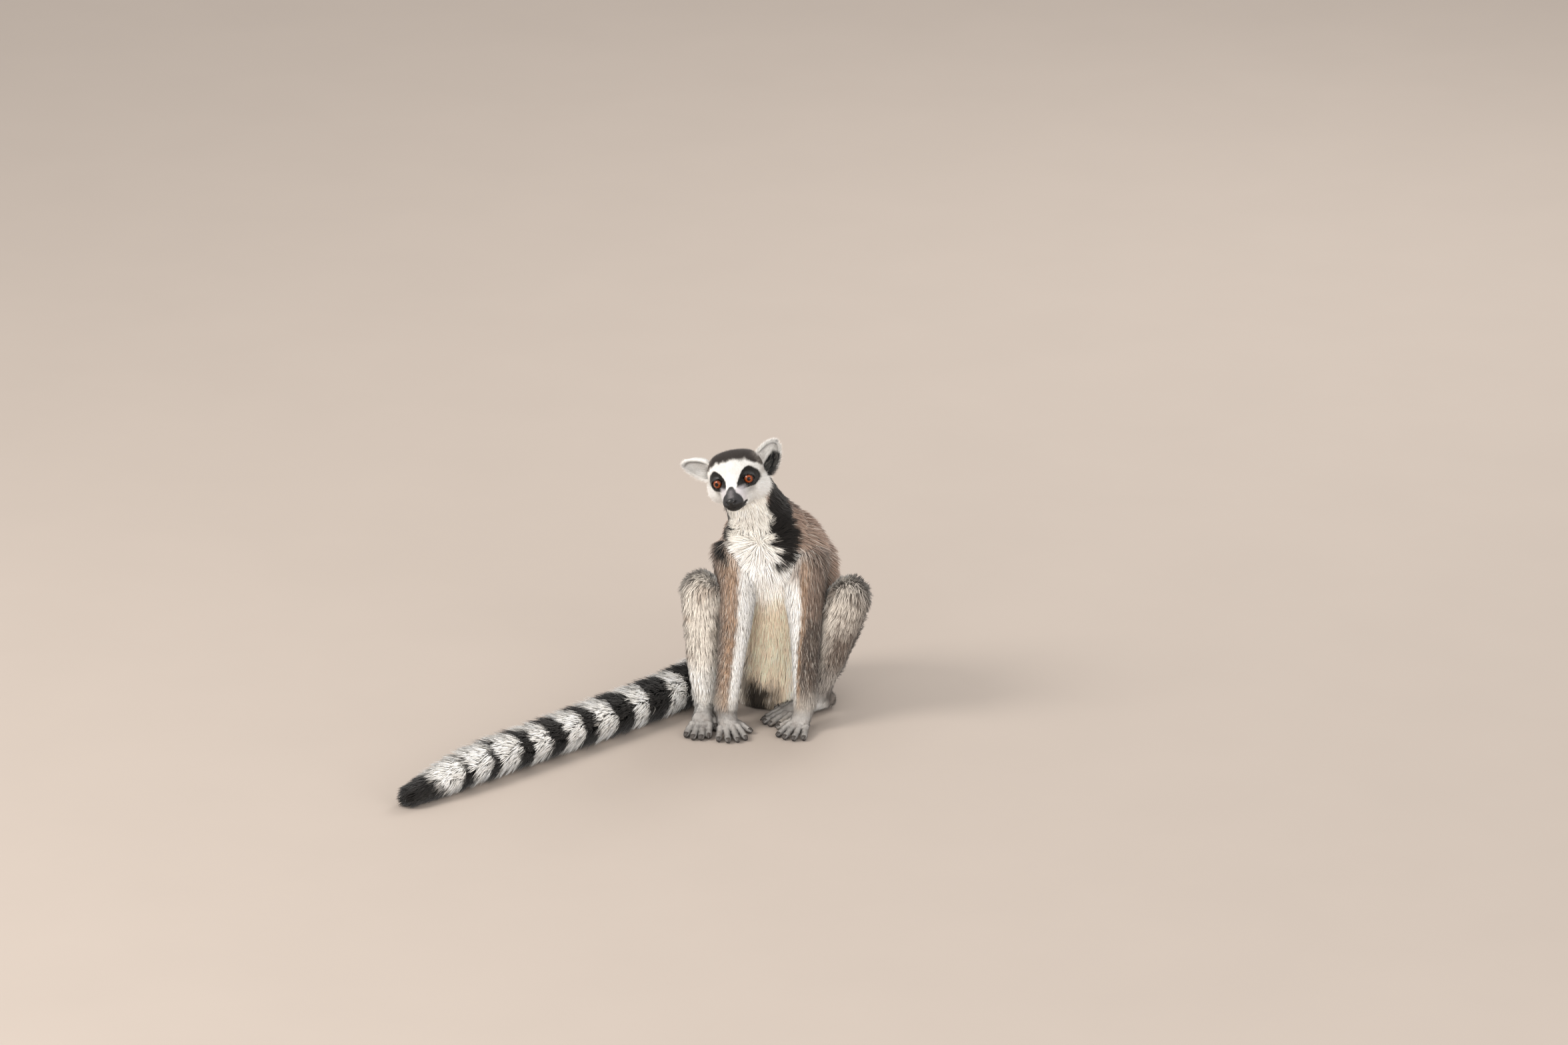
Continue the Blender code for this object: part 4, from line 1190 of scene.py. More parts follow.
def head_lie(p):
    """Away from the nose, and down on the jowls. Short on the snout, longer on cap, cheeks, jaw and nape."""
    q = to_head(p)
    x, y, z = q.T
    way = unit(q - np.array((0, -0.044, -0.017)))
    way = way + np.array((0, 0, -0.5)) * (ease(y, 0.0, 0.03) * ease(z, 0.002, -0.010))[:, None]
    snout = ease(y, -0.010, -0.026)
    crown = ease(z, 0.016, 0.026) * ease(y, -0.005, 0.015)
    cheek = ease(np.abs(x), 0.016, 0.026) * ease(z, 0.004, -0.006) * ease(y, 0.004, 0.016)
    jaw = ease(z, -0.018, -0.026) * ease(y, -0.012, 0.006)
    nape = ease(y, 0.030, 0.044)
    length = mix(HAIR["face"], HAIR["snout"], snout)
    for amount, place in ((crown, "crown"), (cheek, "cheek"), (jaw, "jaw"), (nape, "nape")):
        length = mix(length, HAIR[place], amount)
    loose = np.maximum(cheek, nape)
    lift = mix(mix(0.30, 0.16, snout), 0.46, loose)
    return way @ HEAD, length, lift, mix(0.00056, 0.00042, snout) * mix(1, 1.5, loose)


def ear_lie(shell, p):
    """Along the ear, and out over its rim."""
    e = shell.local(p)
    rim = ease(np.abs(e[:, 1] - 0.0002), 0.004, 0.0005)
    edgeward = unit(e[:, [0]] * shell.axes[0] + e[:, [2]] * shell.axes[2])
    way = shell.aim + 0.9 * rim[:, None] * edgeward + 0.3 * rim[:, None] * shell.facing
    return way, mix(HAIR["ear"], HAIR["ear rim"], rim), mix(0.30, 0.40, rim), 0.00062


def lie_of_coat(p, normal, weights):
    """Direction of the coat, and its length, lift and width: each part's own, mixed by the weights."""
    flow, size = np.zeros((len(p), 3)), np.zeros((len(p), 3))
    for k, part in enumerate(PARTS):
        share, way = part.along(p)
        kind = part.name.split("_")[0]
        if kind == "trunk":
            lie = trunk_lie(p, way)
        elif kind == "tail":
            root, tip = ease(share, 0.02, 0.16), ease(share, 0.80, 1.0)
            length = HAIR["tail"] * mix(0.62, 1.0, root) * mix(1.0, 0.71, tip)
            lie = way, length, mix(0.64, 0.30, ease(share, 0.90, 1.0)), 0.0013
        elif kind == "arm":
            length = mix(HAIR["upper arm"], HAIR["forearm"], ease(share, 0.15, 0.75))
            lie = way, length, 0.42, mix(0.0013, 0.00095, share)
        elif kind == "leg":
            lie = leg_lie(part, normal, share)
        elif kind in ("hand", "foot"):
            lie = paw_lie(p, share, way)
        elif kind == "head":
            lie = head_lie(p)
        else:
            lie = ear_lie(part.beads[0], p)
        way, *sizes = lie
        flow = flow + weights[:, [k]] * way
        size = size + weights[:, [k]] * np.stack([np.broadcast_to(v, len(p)) for v in sizes], 1)
    return flow, size


SWING, UNEVEN, LIFT_SPREAD = 0.13, (0.72, 1.18), 0.06  # how locks differ: turn, length, lift
RISE, FALL = 0.34, 0.36  # a lock's bow: radians over its lift at the root, and under it at the tip
THICKNESS, FLATNESS = (0.85, 0.92), 0.55  # of its width at root and bend, and its depth over its width
ROOT_DEPTH = 0.0007  # how far its root sits in the skin


def grow(root, normal, flow, size, clump, rng):
    """Closed three-sided locks. A lock's middle leaves the skin at its lift and bows back to it:
    C(t) = root + L((t - tt/2) first + tt/2 last), drawn toward its clump's middle by t to the 1.6."""
    n = len(root)
    length, lift, width = size.T
    flow = unit(flow - normal * (flow * normal).sum(1, keepdims=True))
    across = np.cross(flow, normal)
    swing = rng.normal(0, SWING, n)[:, None]
    flow = unit(flow * np.cos(swing) + across * np.sin(swing))
    across = np.cross(flow, normal)
    length = length * rng.uniform(*UNEVEN, n)
    lift = lift + rng.normal(0, LIFT_SPREAD, n)

    def heading(angle):
        """The way a lock points when lifted by an angle from the skin."""
        return flow * np.cos(angle)[:, None] + normal * np.sin(angle)[:, None]

    first, last = heading(lift + RISE), heading(np.maximum(lift - FALL, -0.04))
    cell, strength = clump
    warp = root + 0.4 * cell[:, None] * np.sin(root[:, [1, 2, 0]] * (2.3 / cell[:, None]) + 1.7)
    key = np.floor(warp / cell[:, None]).astype(np.int64)
    _, ids = np.unique(key @ np.array((73856093, 19349663, 83492791)), return_inverse=True)
    ids = ids.ravel()
    members = np.bincount(ids)
    hub = np.stack([np.bincount(ids, v) for v in root.T], 1) / members[:, None]
    trend = unit(np.stack([np.bincount(ids, v) for v in (first + last).T], 1))
    clump_length = np.bincount(ids, length) / members
    vary = np.random.default_rng(11).uniform(0.0, 1.0, len(members))
    lines = []
    for t in (0.0, 0.5, 1.0):
        c = root + length[:, None] * ((t - t * t / 2) * first + t * t / 2 * last)
        goal = hub[ids] + trend[ids] * (clump_length[ids] * t * (0.9 + 0.25 * vary[ids]))[:, None]
        lines.append(mix(c, goal, (strength * t ** 1.6)[:, None]))
    lines[0] = lines[0] - normal * ROOT_DEPTH
    rings, outs = [], []
    for k, thick in enumerate(THICKNESS):
        way = unit(lines[k + 1] - lines[k])
        side = unit(across - way * (across * way).sum(1, keepdims=True))
        up = np.cross(side, way)
        for angle in (-math.pi / 2, math.pi / 6, 5 * math.pi / 6):
            out = side * math.cos(angle) + up * math.sin(angle) * FLATNESS
            rings.append(lines[k] + out * (width * thick * 0.5)[:, None])
            outs.append(unit(out + normal * 0.9))
    verts = np.stack([*rings, lines[2]], 1)
    normals = np.stack([*outs, unit(normal + up * 0.5)], 1)
    return verts, normals, ids, vary


LOCK = np.array([  # root 0 to 2, bend 3 to 5, tip 6
    (0, 1, 2), (0, 3, 4), (0, 4, 1), (1, 4, 5), (1, 5, 2), (2, 5, 3), (2, 3, 0),
    (3, 6, 4), (4, 6, 5), (5, 6, 3)])
LOCK_UV = np.array([  # (round the lock, along it) at each corner of those faces
    (0, 0), (.33, 0), (.66, 0), (0, 0), (0, .5), (.33, .5), (0, 0), (.33, .5), (.33, 0), (.33, 0),
    (.33, .5), (.66, .5), (.33, 0), (.66, .5), (.66, 0), (.66, 0), (.66, .5), (1, .5), (.66, 0), (1, .5),
    (1, 0), (0, .5), (.16, 1), (.33, .5), (.33, .5), (.5, 1), (.66, .5), (.66, .5), (.83, 1), (1, .5)])
SHORT = np.array([(0, 1, 2), (0, 3, 1), (1, 3, 2), (2, 3, 0)])  # a short lock has only its root and its tip
SHORT_UV = np.array([
    (0, 0), (.33, 0), (.66, 0), (0, 0), (.16, 1), (.33, 0), (.33, 0), (.5, 1), (.66, 0), (.66, 0), (.83, 1),
    (1, 0)])
SHORT_POINTS = [0, 1, 2, 6]  # which of a lock's seven points it keeps
PATCH = 0.003  # side of a lock's own square on the bake map
LOW = 0.0022  # below this, the locks are laid on the floor


def unwrap(root, weights):
    """Each root's own square on an unwrap of the skin: rows by the share along its part, columns by the angle
    round the part's line, both spread evenly so that no two patches touch."""
    part_of = weights.argmax(1)
    share, angle = np.zeros(len(root)), np.zeros(len(root))
    for k, part in enumerate(PARTS):
        mine = part_of == k
        if mine.any():
            s, way = part.along(root[mine])
            line = part.line[0] + (part.line[-1] - part.line[0]) * s[:, None]
            off = root[mine] - line
            share[mine] = s + 2.0 * k
            side = unit(np.cross(way, (0.3, 0.2, 0.93)))
            angle[mine] = np.arctan2((off * np.cross(way, side)).sum(1), (off * side).sum(1))
    rows = int(math.ceil(math.sqrt(len(root))))
    order = np.argsort(share, kind="stable")
    row = np.empty(len(root), int)
    row[order] = np.arange(len(root)) // rows
    order = np.lexsort((angle, row))
    column = np.empty(len(root), int)
    column[order] = np.arange(len(root)) % rows
    return (np.stack([column, row], 1) + 0.5) / (rows + 1) - PATCH / 2


def coat_piece(name, slot, material, locks, weights, short, rng):
    """One joined mesh of locks, with their colours, strand map and bake patches."""
    root, verts, normals, colour = locks
    shape, shape_uv = (SHORT, SHORT_UV) if short else (LOCK, LOCK_UV)
    if short:
        verts, normals, colour = (part[:, SHORT_POINTS] for part in (verts, normals, colour))
    faces = (shape[None] + verts.shape[1] * np.arange(len(root))[:, None, None]).reshape(-1, 3)
    flat = verts.reshape(-1, 3).copy()
    laid = FLOOR_GAP + 0.0012 * np.exp(np.minimum(flat[:, 2] - LOW, 0) / 0.004)
    flat[:, 2] = np.where(flat[:, 2] < LOW, laid, flat[:, 2])
    piece = make_mesh(name, flat, faces)
    paint(piece, "Coat", colour.reshape(-1, 3))
    add_uv(piece, "OFBake", unwrap(root, weights)[:, None, :] + shape_uv[None] * PATCH)
    add_uv(piece, "Strand", shape_uv[None] + rng.random((len(root), 1, 2)) * 37)
    piece.data.normals_split_custom_set_from_vertices(normals.reshape(-1, 3))
    piece.data.materials.append(material)
    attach(piece, "root")


REGIONS = {  # piece: (parts, slot, strand contrast, roughness, sheen, short locks)
    "coat_face": (("head",), "coat_pale", (0.84, 1.10), 0.78, 0.15, True),
    "coat_crown": (("head",), "coat_pale", (0.76, 1.15), 0.78, 0.15, True),
    "coat_ears": (("ear_right", "ear_left"), "coat_pale", (0.88, 1.18), 0.78, 0.18, True),
    "coat_neck": (("trunk",), "coat_pale", (0.75, 1.18), 0.78, 0.15, False),
    "coat_front": (("trunk",), "coat", (0.86, 1.28), 0.78, 0.18, False),
    "coat_back": (("trunk",), "coat", (0.66, 1.28), 0.75, 0.20, False),
    "coat_arm_right": (("arm_right",), "coat", (0.66, 1.28), 0.76, 0.18, False),
    "coat_arm_left": (("arm_left",), "coat", (0.66, 1.28), 0.76, 0.18, False),
    "coat_leg_right": (("leg_right",), "coat", (0.68, 1.25), 0.78, 0.18, False),
    "coat_leg_left": (("leg_left",), "coat", (0.68, 1.25), 0.78, 0.18, False),
    "coat_hands": (("hand_right", "hand_left"), "paw", (0.75, 1.15), 0.72, 0.10, True),
    "coat_feet": (("foot_right", "foot_left"), "paw", (0.75, 1.15), 0.72, 0.10, True),
    "coat_tail_base": (("tail",), "coat_ringed", (0.82, 1.25), 0.74, 0.20, False),
    "coat_tail_end": (("tail",), "coat_ringed", (0.82, 1.25), 0.74, 0.20, False),
}
DENSITY = {  # locks on each square millimetre
    "head": 2.20, "ear": 2.8, "trunk": 0.44, "arm": 0.84, "leg": 0.52, "hand": 1.80, "foot": 1.45,
    "tail": 0.60}
MOST_TRIANGLES = 200000
NECK_HEIGHT, FRONT_ANGLE, FACE_BACK = 0.232, 75, 0.012  # where the pieces of the coat meet
BARE_SOLE = 0.0046  # no locks below this height on hands and feet
PALE_LOCKS, DARK_LOCKS = (0.16, 0.38), (0.14, 0.40)  # among grizzled locks: their share, how much they differ
# Lock roots painted darker than the rest of the lock: painted shade inside the coat.
ROOT_SHADE = (0.55, 0.93, 0.86)  # of a lock's colour at its root: dark fur, pale fur, head and paws
TIP_LIGHT, MOST_LIGHT = 1.10, 0.95  # the tip's, and the most that any colour may be


def density_on(middle, share):
    """Locks per square metre at places of the skin: each part's own number times a share, more on the face,
    chest and throat, none on the eyes, nose, mouth line and underside."""
    weights = read_body(middle)
    per_part = np.array([DENSITY[name.split("_")[0]] for name in PART_NAMES]) * 1e6 * share
    density = weights @ per_part
    q = to_head(middle)
    near_head = np.linalg.norm(q, axis=1) < 0.07
    bare = (nose_pad(q) < 1.08) | ((q[:, 1] < -0.018) & (np.abs(q[:, 2] + 0.0260) < 0.0012))
    for e in from_eyes(q):
        bare |= (e[:, 2] > 0) & (np.linalg.norm(e[:, :2], axis=1) < 0.0084)
    density = np.where(near_head & bare, 0, density)
    density = np.where(near_head, density * mix(1.0, 2.5, ease(q[:, 1], 0.020, 0.008)), density)
    front = np.degrees(np.abs(np.arctan2(middle[:, 0], 0.02 - middle[:, 1])))
    throat = ease(middle[:, 2], 0.225, 0.245) * ease(front, 80, 55)
    front = mix(1.40, 1.0, ease(front, 55, 80)) * mix(1.0, 1.35, throat)
    density = density * mix(1.0, front, by_name(weights)["trunk"])
    return np.where(middle[:, 2] < 0.0030, 0, density)


def clumping(names, limb, head, paw):
    """The size of the clumps that locks are drawn into, and how strongly, by the part weights."""
    cell = mix(CLUMP_CELL["trunk"], CLUMP_CELL["limb"], ease(limb, 0.3, 0.8))
    cell = mix(cell, CLUMP_CELL["head"], ease(head, 0.3, 0.8))
    cell = mix(cell, CLUMP_CELL["tail"], ease(names["tail"], 0.3, 0.8))
    legs = names["leg_right"] + names["leg_left"]
    arms = names["arm_right"] + names["arm_left"]
    strength = 0.40 * names["trunk"] + 0.55 * legs + 0.42 * arms + 0.12 * head
    return cell, strength + 0.42 * names["tail"] + 0.1 * paw


def lock_colours(colour, colours, vary, head, paw, rng):
    """The colour at each lock's seven points: its place's, a few paler or darker, with painted shade toward
    the root.
    """
    n = len(colour)
    light = rng.normal(1.0, 0.11, n) * mix(0.90, 1.08, vary)
    bright = colour.mean(1)
    grizzled = ease(bright, 0.030, 0.060) * ease(bright, 0.55, 0.35)  # neither black nor white
    for shade, (share, much) in (("thigh", PALE_LOCKS), ("black", DARK_LOCKS)):
        picked = (rng.random(n) < share) * grizzled * (1 - paw)
        colour = over(colour, colours[shade], much * picked)
    dark_fur, pale_fur, short_fur = ROOT_SHADE
    # Painted shade toward each lock's root, strongest on dark fur.
    deep = mix(dark_fur, pale_fur, ease(colour.mean(1), 0.08, 0.55))
    deep = mix(deep, short_fur, ease(head + paw, 0.3, 0.8))
    gain = np.ones((n, 7)) * light[:, None]
    gain[:, :3] *= deep[:, None]
    gain[:, 6] *= TIP_LIGHT
    return np.clip(colour[:, None, :] * gain[:, :, None], 0, MOST_LIGHT)


def part_locks(root, weights):
    """Which locks each piece of the coat takes, by the part they grow on and where they stand."""
    part_of = weights.argmax(1)
    neck = root[:, 2] > NECK_HEIGHT
    front = np.abs(round_trunk(root)) < FRONT_ANGLE
    fore = to_head(root)[:, 1] < FACE_BACK
    base = PART["tail"].along(root)[0] < 0.5
    only = {"coat_face": fore, "coat_crown": ~fore, "coat_neck": neck, "coat_front": ~neck & front,
            "coat_back": ~neck & ~front, "coat_tail_base": base, "coat_tail_end": ~base}
    taken = {}
    for name, (members, *_) in REGIONS.items():
        on = np.isin(part_of, [PART_NAMES.index(member) for member in members])
        taken[name] = on & only.get(name, True)
    return taken


def make_coat(props, colours):
    """Grows the whole coat over the skin and parts it into pieces under 200,000 triangles each."""
    rng = np.random.default_rng(7)
    vertices, faces = read_mesh(bpy.data.objects["skin"])
    density = density_on(vertices[faces].mean(1), props.density)
    root = roots_on(vertices, faces, density, rng)
    normal = outward(root)[1]
    weights = read_body(root)
    paw = paw_weight(by_name(weights))
    keep = ~((paw > 0.5) & (root[:, 2] < BARE_SOLE))
    root, normal, weights, paw = root[keep], normal[keep], weights[keep], paw[keep]
    names = by_name(weights)
    limb = names["leg_right"] + names["leg_left"] + (names["arm_right"] + names["arm_left"])
    head = names["head"] + names["ear_right"] + names["ear_left"]
    flow, size = lie_of_coat(root, normal, weights)
    size[:, 0] *= props.length
    tangent = unit(flow - normal * (flow * normal).sum(1, keepdims=True))
    shown = root + tangent * (0.55 * size[:, :1])  # a lock is seen by its middle, and takes its colour there
    colour = markings(shown, weights, colours)
    verts, normals, clump, vary = grow(root, normal, flow, size, clumping(names, limb, head, paw), rng)
    inside = surface_distance(verts[:, 6], folds=False) < -0.0015
    foot_of = verts[inside, :3].mean(1)
    verts[inside, 6] = mix(verts[inside, 6], foot_of, 0.45)
    verts[inside, 3:6] = mix(verts[inside, 3:6], foot_of[:, None], 0.35)
    tinted = lock_colours(colour, colours, vary[clump], head, paw, rng)
    taken = part_locks(root, weights)
    for name, (_, slot, contrast, rough, sheen, short) in REGIONS.items():
        mine = taken[name]
        triangles = int(mine.sum()) * len(SHORT if short else LOCK)
        if triangles >= MOST_TRIANGLES:
            raise RuntimeError(f"{name} has {triangles} triangles: thin its coat")
        material = fur_material(name.replace("coat_", "Fur ").replace("_", " "), *contrast, rough, sheen)
        locks = root[mine], verts[mine], normals[mine], tinted[mine]
        coat_piece(name, slot, material, locks, weights[mine], short, rng)


# ---------------------------------------------------- eyes and nails
def grid_faces(rows, columns, closed):
    """Squares between the rows of a grid, the columns joined in a ring if closed."""
    i, j = np.meshgrid(np.arange(rows - 1), np.arange(columns if closed else columns - 1), indexing="ij")
    k, upper, lower = (j + 1) % columns, i * columns, (i + 1) * columns
    return np.stack([upper + j, upper + k, lower + k, lower + j], -1).reshape(-1, 4)


def make_eyes(props):
    """Each eyeball: a ball with a low cornea, r = R + bulge times a bell of the angle from its gaze. Its UV
    holds the turn round the gaze and the angle from it, which the iris is drawn on."""
    rows, columns = 40, 48
    angle = np.linspace(0.0, math.pi, rows)
    turn = np.linspace(0, 2 * math.pi, columns, endpoint=False)
    a, t = np.meshgrid(angle, turn, indexing="ij")
    r = EYE_RADIUS + props.cornea * np.exp(-(a / 0.52) ** 2)
    local = np.stack([r * np.sin(a) * np.cos(t), r * np.sin(a) * np.sin(t), r * np.cos(a)], -1).reshape(-1, 3)
    faces = grid_faces(rows, columns, True)
    i, j = np.meshgrid(np.arange(rows - 1), np.arange(columns), indexing="ij")
    corners = [np.stack([j + right, i + down], -1) for right, down in ((0, 0), (1, 0), (1, 1), (0, 1))]
    uv = np.stack(corners, -2).reshape(-1, 4, 2) / np.array((columns, rows - 1))
    material = eye_material(props)
    for side, name in enumerate(SIDES):
        axes = eye_axes(side)
        order = 1 if np.linalg.det(axes) < 0 else -1  # so that the faces point out of both
        piece = make_mesh(f"eyeball_{name}", from_head(local @ axes + EYE_CENTRE[side]), faces[:, ::order])
        add_uv(piece, "Iris", uv[:, ::order])
        weld = piece.modifiers.new("Close the poles", "WELD")
        weld.merge_threshold = 0.00002
        piece.data.materials.append(material)
        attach(piece, "root")
        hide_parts(f"eye_{name}")


def eye_material(props):
    """Iris of amber fibres round a dark pupil, a dark rim and a wet clear coat."""
    material, tree, shader = new_material("Eye")
    uv = add(tree, "ShaderNodeUVMap", uv_map="Iris").outputs[0]
    split = add(tree, "ShaderNodeSeparateXYZ", {0: uv})
    ring = add(tree, "ShaderNodeValToRGB", {"Fac": split.outputs["Y"]})
    # stops: the angle from the gaze as a share of half a turn, and the colour there
    iris, inner, rim = tuple(props.iris), tuple(props.iris_inner), tuple(c * 0.5 for c in props.iris)
    stops = ((0.0, (0.002, 0.002, 0.002)), (0.070, (0.003, 0.002, 0.002)), (0.080, rim), (0.110, inner),
             (0.150, iris), (0.190, rim), (0.212, (0.02, 0.010, 0.006)), (0.24, (0.010, 0.007, 0.006)))
    while len(ring.color_ramp.elements) < len(stops):
        ring.color_ramp.elements.new(0.5)
    for element, (place, colour) in zip(ring.color_ramp.elements, stops):
        element.position, element.color = place, (*colour, 1)
    rays = add(tree, "ShaderNodeMapping", {"Vector": uv, "Scale": (60.0, 9.0, 1.0)}).outputs[0]
    fibre = add(tree, "ShaderNodeTexNoise", {"Vector": rays, "Scale": 1.0, "Detail": 3.0}).outputs["Fac"]
    tint = spread(tree, fibre, 0.65, 1.35, min=0.3, max=0.7)
    join(tree, shader, {
        "Base Color": dye(tree, ring.outputs["Color"], tint), "Roughness": 0.25, "Specular IOR Level": 0.1,
        "Coat Weight": 1.0, "Coat Roughness": 0.03, "Coat IOR": 1.33,
        "Normal": bumped(tree, fibre, 0.0001, 0.3)})
    return material


def make_nails():
    """A nail on each digit: a curved shield, u across from -1 to 1 and v along from 0 to 1, arched as a
    circle across and falling to its tip, with its own thickness."""
    rows, columns = 7, 9
    bow = 1.15  # half the angle that it curves round, in radians
    u, v = np.meshgrid(np.linspace(-1, 1, columns), np.linspace(0, 1, rows))
    points, faces = [], []
    for kind, digit, tip, way, radius in DIGIT_TIPS:
        claw = kind == "foot" and digit == 0  # the grooming claw
        along = unit(way)
        across = unit(np.cross(along, (0, 0, 1.0)))
        up = np.cross(across, along)
        width = radius * (0.62 if claw else 0.80) * (1 - 0.30 * v - 0.62 * v**6)
        length = radius * (2.4 if claw else 1.75)
        height = radius * (0.50 + 0.56 * np.cos(u * bow) - 0.55 * v**2)
        shape = (tip - along * radius * 0.55 + across * (width * np.sin(u * bow) / math.sin(bow))[..., None]
                 + along * (v * length)[..., None] + up * height[..., None])
        shape = shape.reshape(-1, 3)
        shape[:, 2] = np.maximum(shape[:, 2], 0.0012)
        faces.append(grid_faces(rows, columns, False) + len(points) * rows * columns)
        points.append(shape)
    piece = make_mesh("nails", np.vstack(points), np.vstack(faces))
    wall = piece.modifiers.new("Nail thickness", "SOLIDIFY")
    wall.thickness, wall.offset = 0.0005, 0.0
    material, tree, shader = new_material("Nail")
    place = add(tree, "ShaderNodeTexCoord").outputs["Object"]
    grain = add(tree, "ShaderNodeGroup", node_tree=mottle())
    join(tree, grain, {"Vector": place, "Colour": (*linear(58, 52, 48), 1)})
    patches = grain.outputs["Patches"]
    join(tree, shader, {"Base Color": grain.outputs["Colour"], "Roughness": spread(tree, patches, 0.28, 0.5),
                        "Normal": bumped(tree, patches, 0.0001, 0.4)})
    piece.data.materials.append(material)
    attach(piece, "root")


# ---------------------------------------------------- stage
LAMPS = (  # name, place, size, power in watts, colour
    ("Key lamp", (-2.3, -1.7, 2.5), 1.5, 90, (1.0, 0.95, 0.89)),
    ("Catch lamp", (-0.2, -3.2, 1.9), 0.22, 3.5, (1.0, 1.0, 1.0)),
    ("Fill lamp", (2.5, -1.9, 0.8), 2.0, 38, (1.0, 0.97, 0.94)),
    ("Front lamp", (-0.1, -3.1, 0.35), 1.6, 44, (1.0, 0.97, 0.93)),
    ("Rim lamp", (0.5, 2.2, 2.2), 1.4, 34, (1.0, 0.98, 0.95)))
LIT = np.array((-0.05, -0.1, 0.15))  # the place that every lamp faces


def set_up(name, data, right, up, back, place):
    """Puts a lamp or camera in the scene at its place, looking the way opposite to back."""
    holder = bpy.data.objects.new(name, data)
    bpy.context.scene.collection.objects.link(holder)
    matrix = np.eye(4)
    matrix[:3, :3] = np.array([right, up, back]).T
    matrix[:3, 3] = place
    holder.matrix_world = Matrix(matrix.tolist())
    return holder


def make_stage(props):
    """A pale floor, four soft lamps and a small one for the eyes, a pale sky and the camera."""
    rings, columns = np.concatenate([[0.0], np.geomspace(0.4, 60.0, 14)]), 64
    r, t = np.meshgrid(rings, np.linspace(0, 2 * math.pi, columns, endpoint=False), indexing="ij")
    points = np.stack([r * np.cos(t), r * np.sin(t), 0 * r], -1).reshape(-1, 3)
    floor = make_mesh("floor", points, grid_faces(len(rings), columns, True))
    material, tree, shader = new_material("Floor")
    place = add(tree, "ShaderNodeTexCoord").outputs["Object"]
    grain = add(tree, "ShaderNodeTexNoise", {"Vector": place, "Scale": 6.0, "Detail": 5.0}).outputs["Fac"]
    tone = spread(tree, grain, 0.97, 1.02)
    join(tree, shader, {"Base Color": dye(tree, tuple(props.floor), tone), "Roughness": 0.85})
    floor.data.materials.append(material)
    scene = bpy.context.scene
    scene.world = bpy.data.worlds.new("Sky")
    scene.world.use_nodes = True
    tree = scene.world.node_tree
    join(tree, tree.nodes["Background"], {"Color": (*props.sky, 1), "Strength": props.sky_strength})
    for name, place, size, power, colour in LAMPS:
        lamp = bpy.data.lights.new(name, "AREA")
        lamp.shape, lamp.size, lamp.energy, lamp.color = "DISK", size, power * props.light, colour
        back = unit(np.array(place) - LIT)
        right = unit(np.cross((0, 0, 1.0), back))
        holder = set_up(name, lamp, right, np.cross(back, right), back, place)
        holder.visible_glossy = name != "Front lamp"  # it would lie as a grey disc on the pupils
    a, e = props.azimuth, props.elevation
    back = np.array((math.sin(a) * math.cos(e), -math.cos(a) * math.cos(e), math.sin(e)))
    right = np.array((math.cos(a), math.sin(a), 0.0))
    up = np.cross(back, right)
    aim = right * props.aim_right + up * props.aim_up
    camera = bpy.data.cameras.new("Camera")
    camera.lens, camera.sensor_width, camera.clip_start, camera.clip_end = props.lens, 36.0, 0.1, 200.0
    scene.camera = set_up("Camera", camera, right, up, back, aim + back * props.distance)
    scene.view_settings.view_transform = "Standard"


# ---------------------------------------------------- add-on
def colour_setting(name, description, colour):
    """A colour that a user can change."""
    return FloatVectorProperty(name=name, description=description, default=colour, subtype="COLOR",
                               min=0, max=1)


def setting(name, description, number, **more):
    """A number that a user can change."""
    return FloatProperty(name=name, description=description, default=number, **more)


def length_setting(name, description, length):
    """A length that a user can change."""
    return setting(name, description, length, unit="LENGTH")


def angle_setting(name, description, degrees):
    """An angle that a user can change, given in degrees."""
    return setting(name, description, math.radians(degrees), subtype="ANGLE", unit="ROTATION")


class LemurCoat(bpy.types.PropertyGroup):
    """Sizes and colours of the skin and coat."""

    skin_step: length_setting("Skin step", "Lattice step the skin is first drawn on", 0.0016)
    skin_share: setting("Skin kept", "Share of the first skin's triangles kept", 0.34, subtype="FACTOR")
    density: setting("Density", "Locks of fur, as a share of the usual number", 0.95, min=0.05, max=1.2)
    length: setting("Length", "Length of the coat, as a share of the usual", 1.0, min=0.2, max=1.5)


for _name, (_label, _colour) in SHADES.items():
    _setting = colour_setting(_label, f"Colour of the coat: {_label.lower()}", linear(*_colour))
    LemurCoat.__annotations__[_name] = _setting


class LemurEyes(bpy.types.PropertyGroup):
    """Eye colours and shape."""

    cornea: length_setting("Cornea", "How far the cornea bulges", 0.0009)
    iris: colour_setting("Iris", "Colour of the iris", linear(114, 50, 21))
    iris_inner: colour_setting("Inner iris", "Colour round the pupil", linear(142, 70, 29))


class LemurStage(bpy.types.PropertyGroup):
    """Floor, light and camera."""

    floor: colour_setting("Floor", "Colour of the floor", linear(168, 157, 148))
    sky: colour_setting("Sky", "Colour of the light all round", (1.0, 0.975, 0.95))
    sky_strength: setting("Sky strength", "Strength of the light all round", 0.92)
    light: setting("Lamp strength", "Strength of the lamps, as a share of the usual", 1.0)
    azimuth: angle_setting("Azimuth", "Camera's turn toward the animal's left", 17)
    elevation: angle_setting("Elevation", "Camera's height over the horizon", 20)
    distance: length_setting("Distance", "From the aim point to the camera", 10.45)
    aim_right: length_setting("Aim right", "Aim point to the right of the origin", 0.0104)
    aim_up: length_setting("Aim up", "Aim point above the origin, square to the view", 0.2128)
    lens: setting("Lens", "Focal length in millimetres", 200.0)


FLESH_NODES = [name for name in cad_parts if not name.startswith("eye_")]


class LEMUR_OT_skin(bpy.types.Operator):
    """Make the skin, which stands for every node of flesh"""

    bl_idname = "lemur.skin"
    bl_label = "Skin"

    def execute(self, context):
        props = context.scene.lemur_coat
        skin = make_skin(props, shades(props))
        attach(skin, "root")
        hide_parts(*FLESH_NODES)
        return {"FINISHED"}


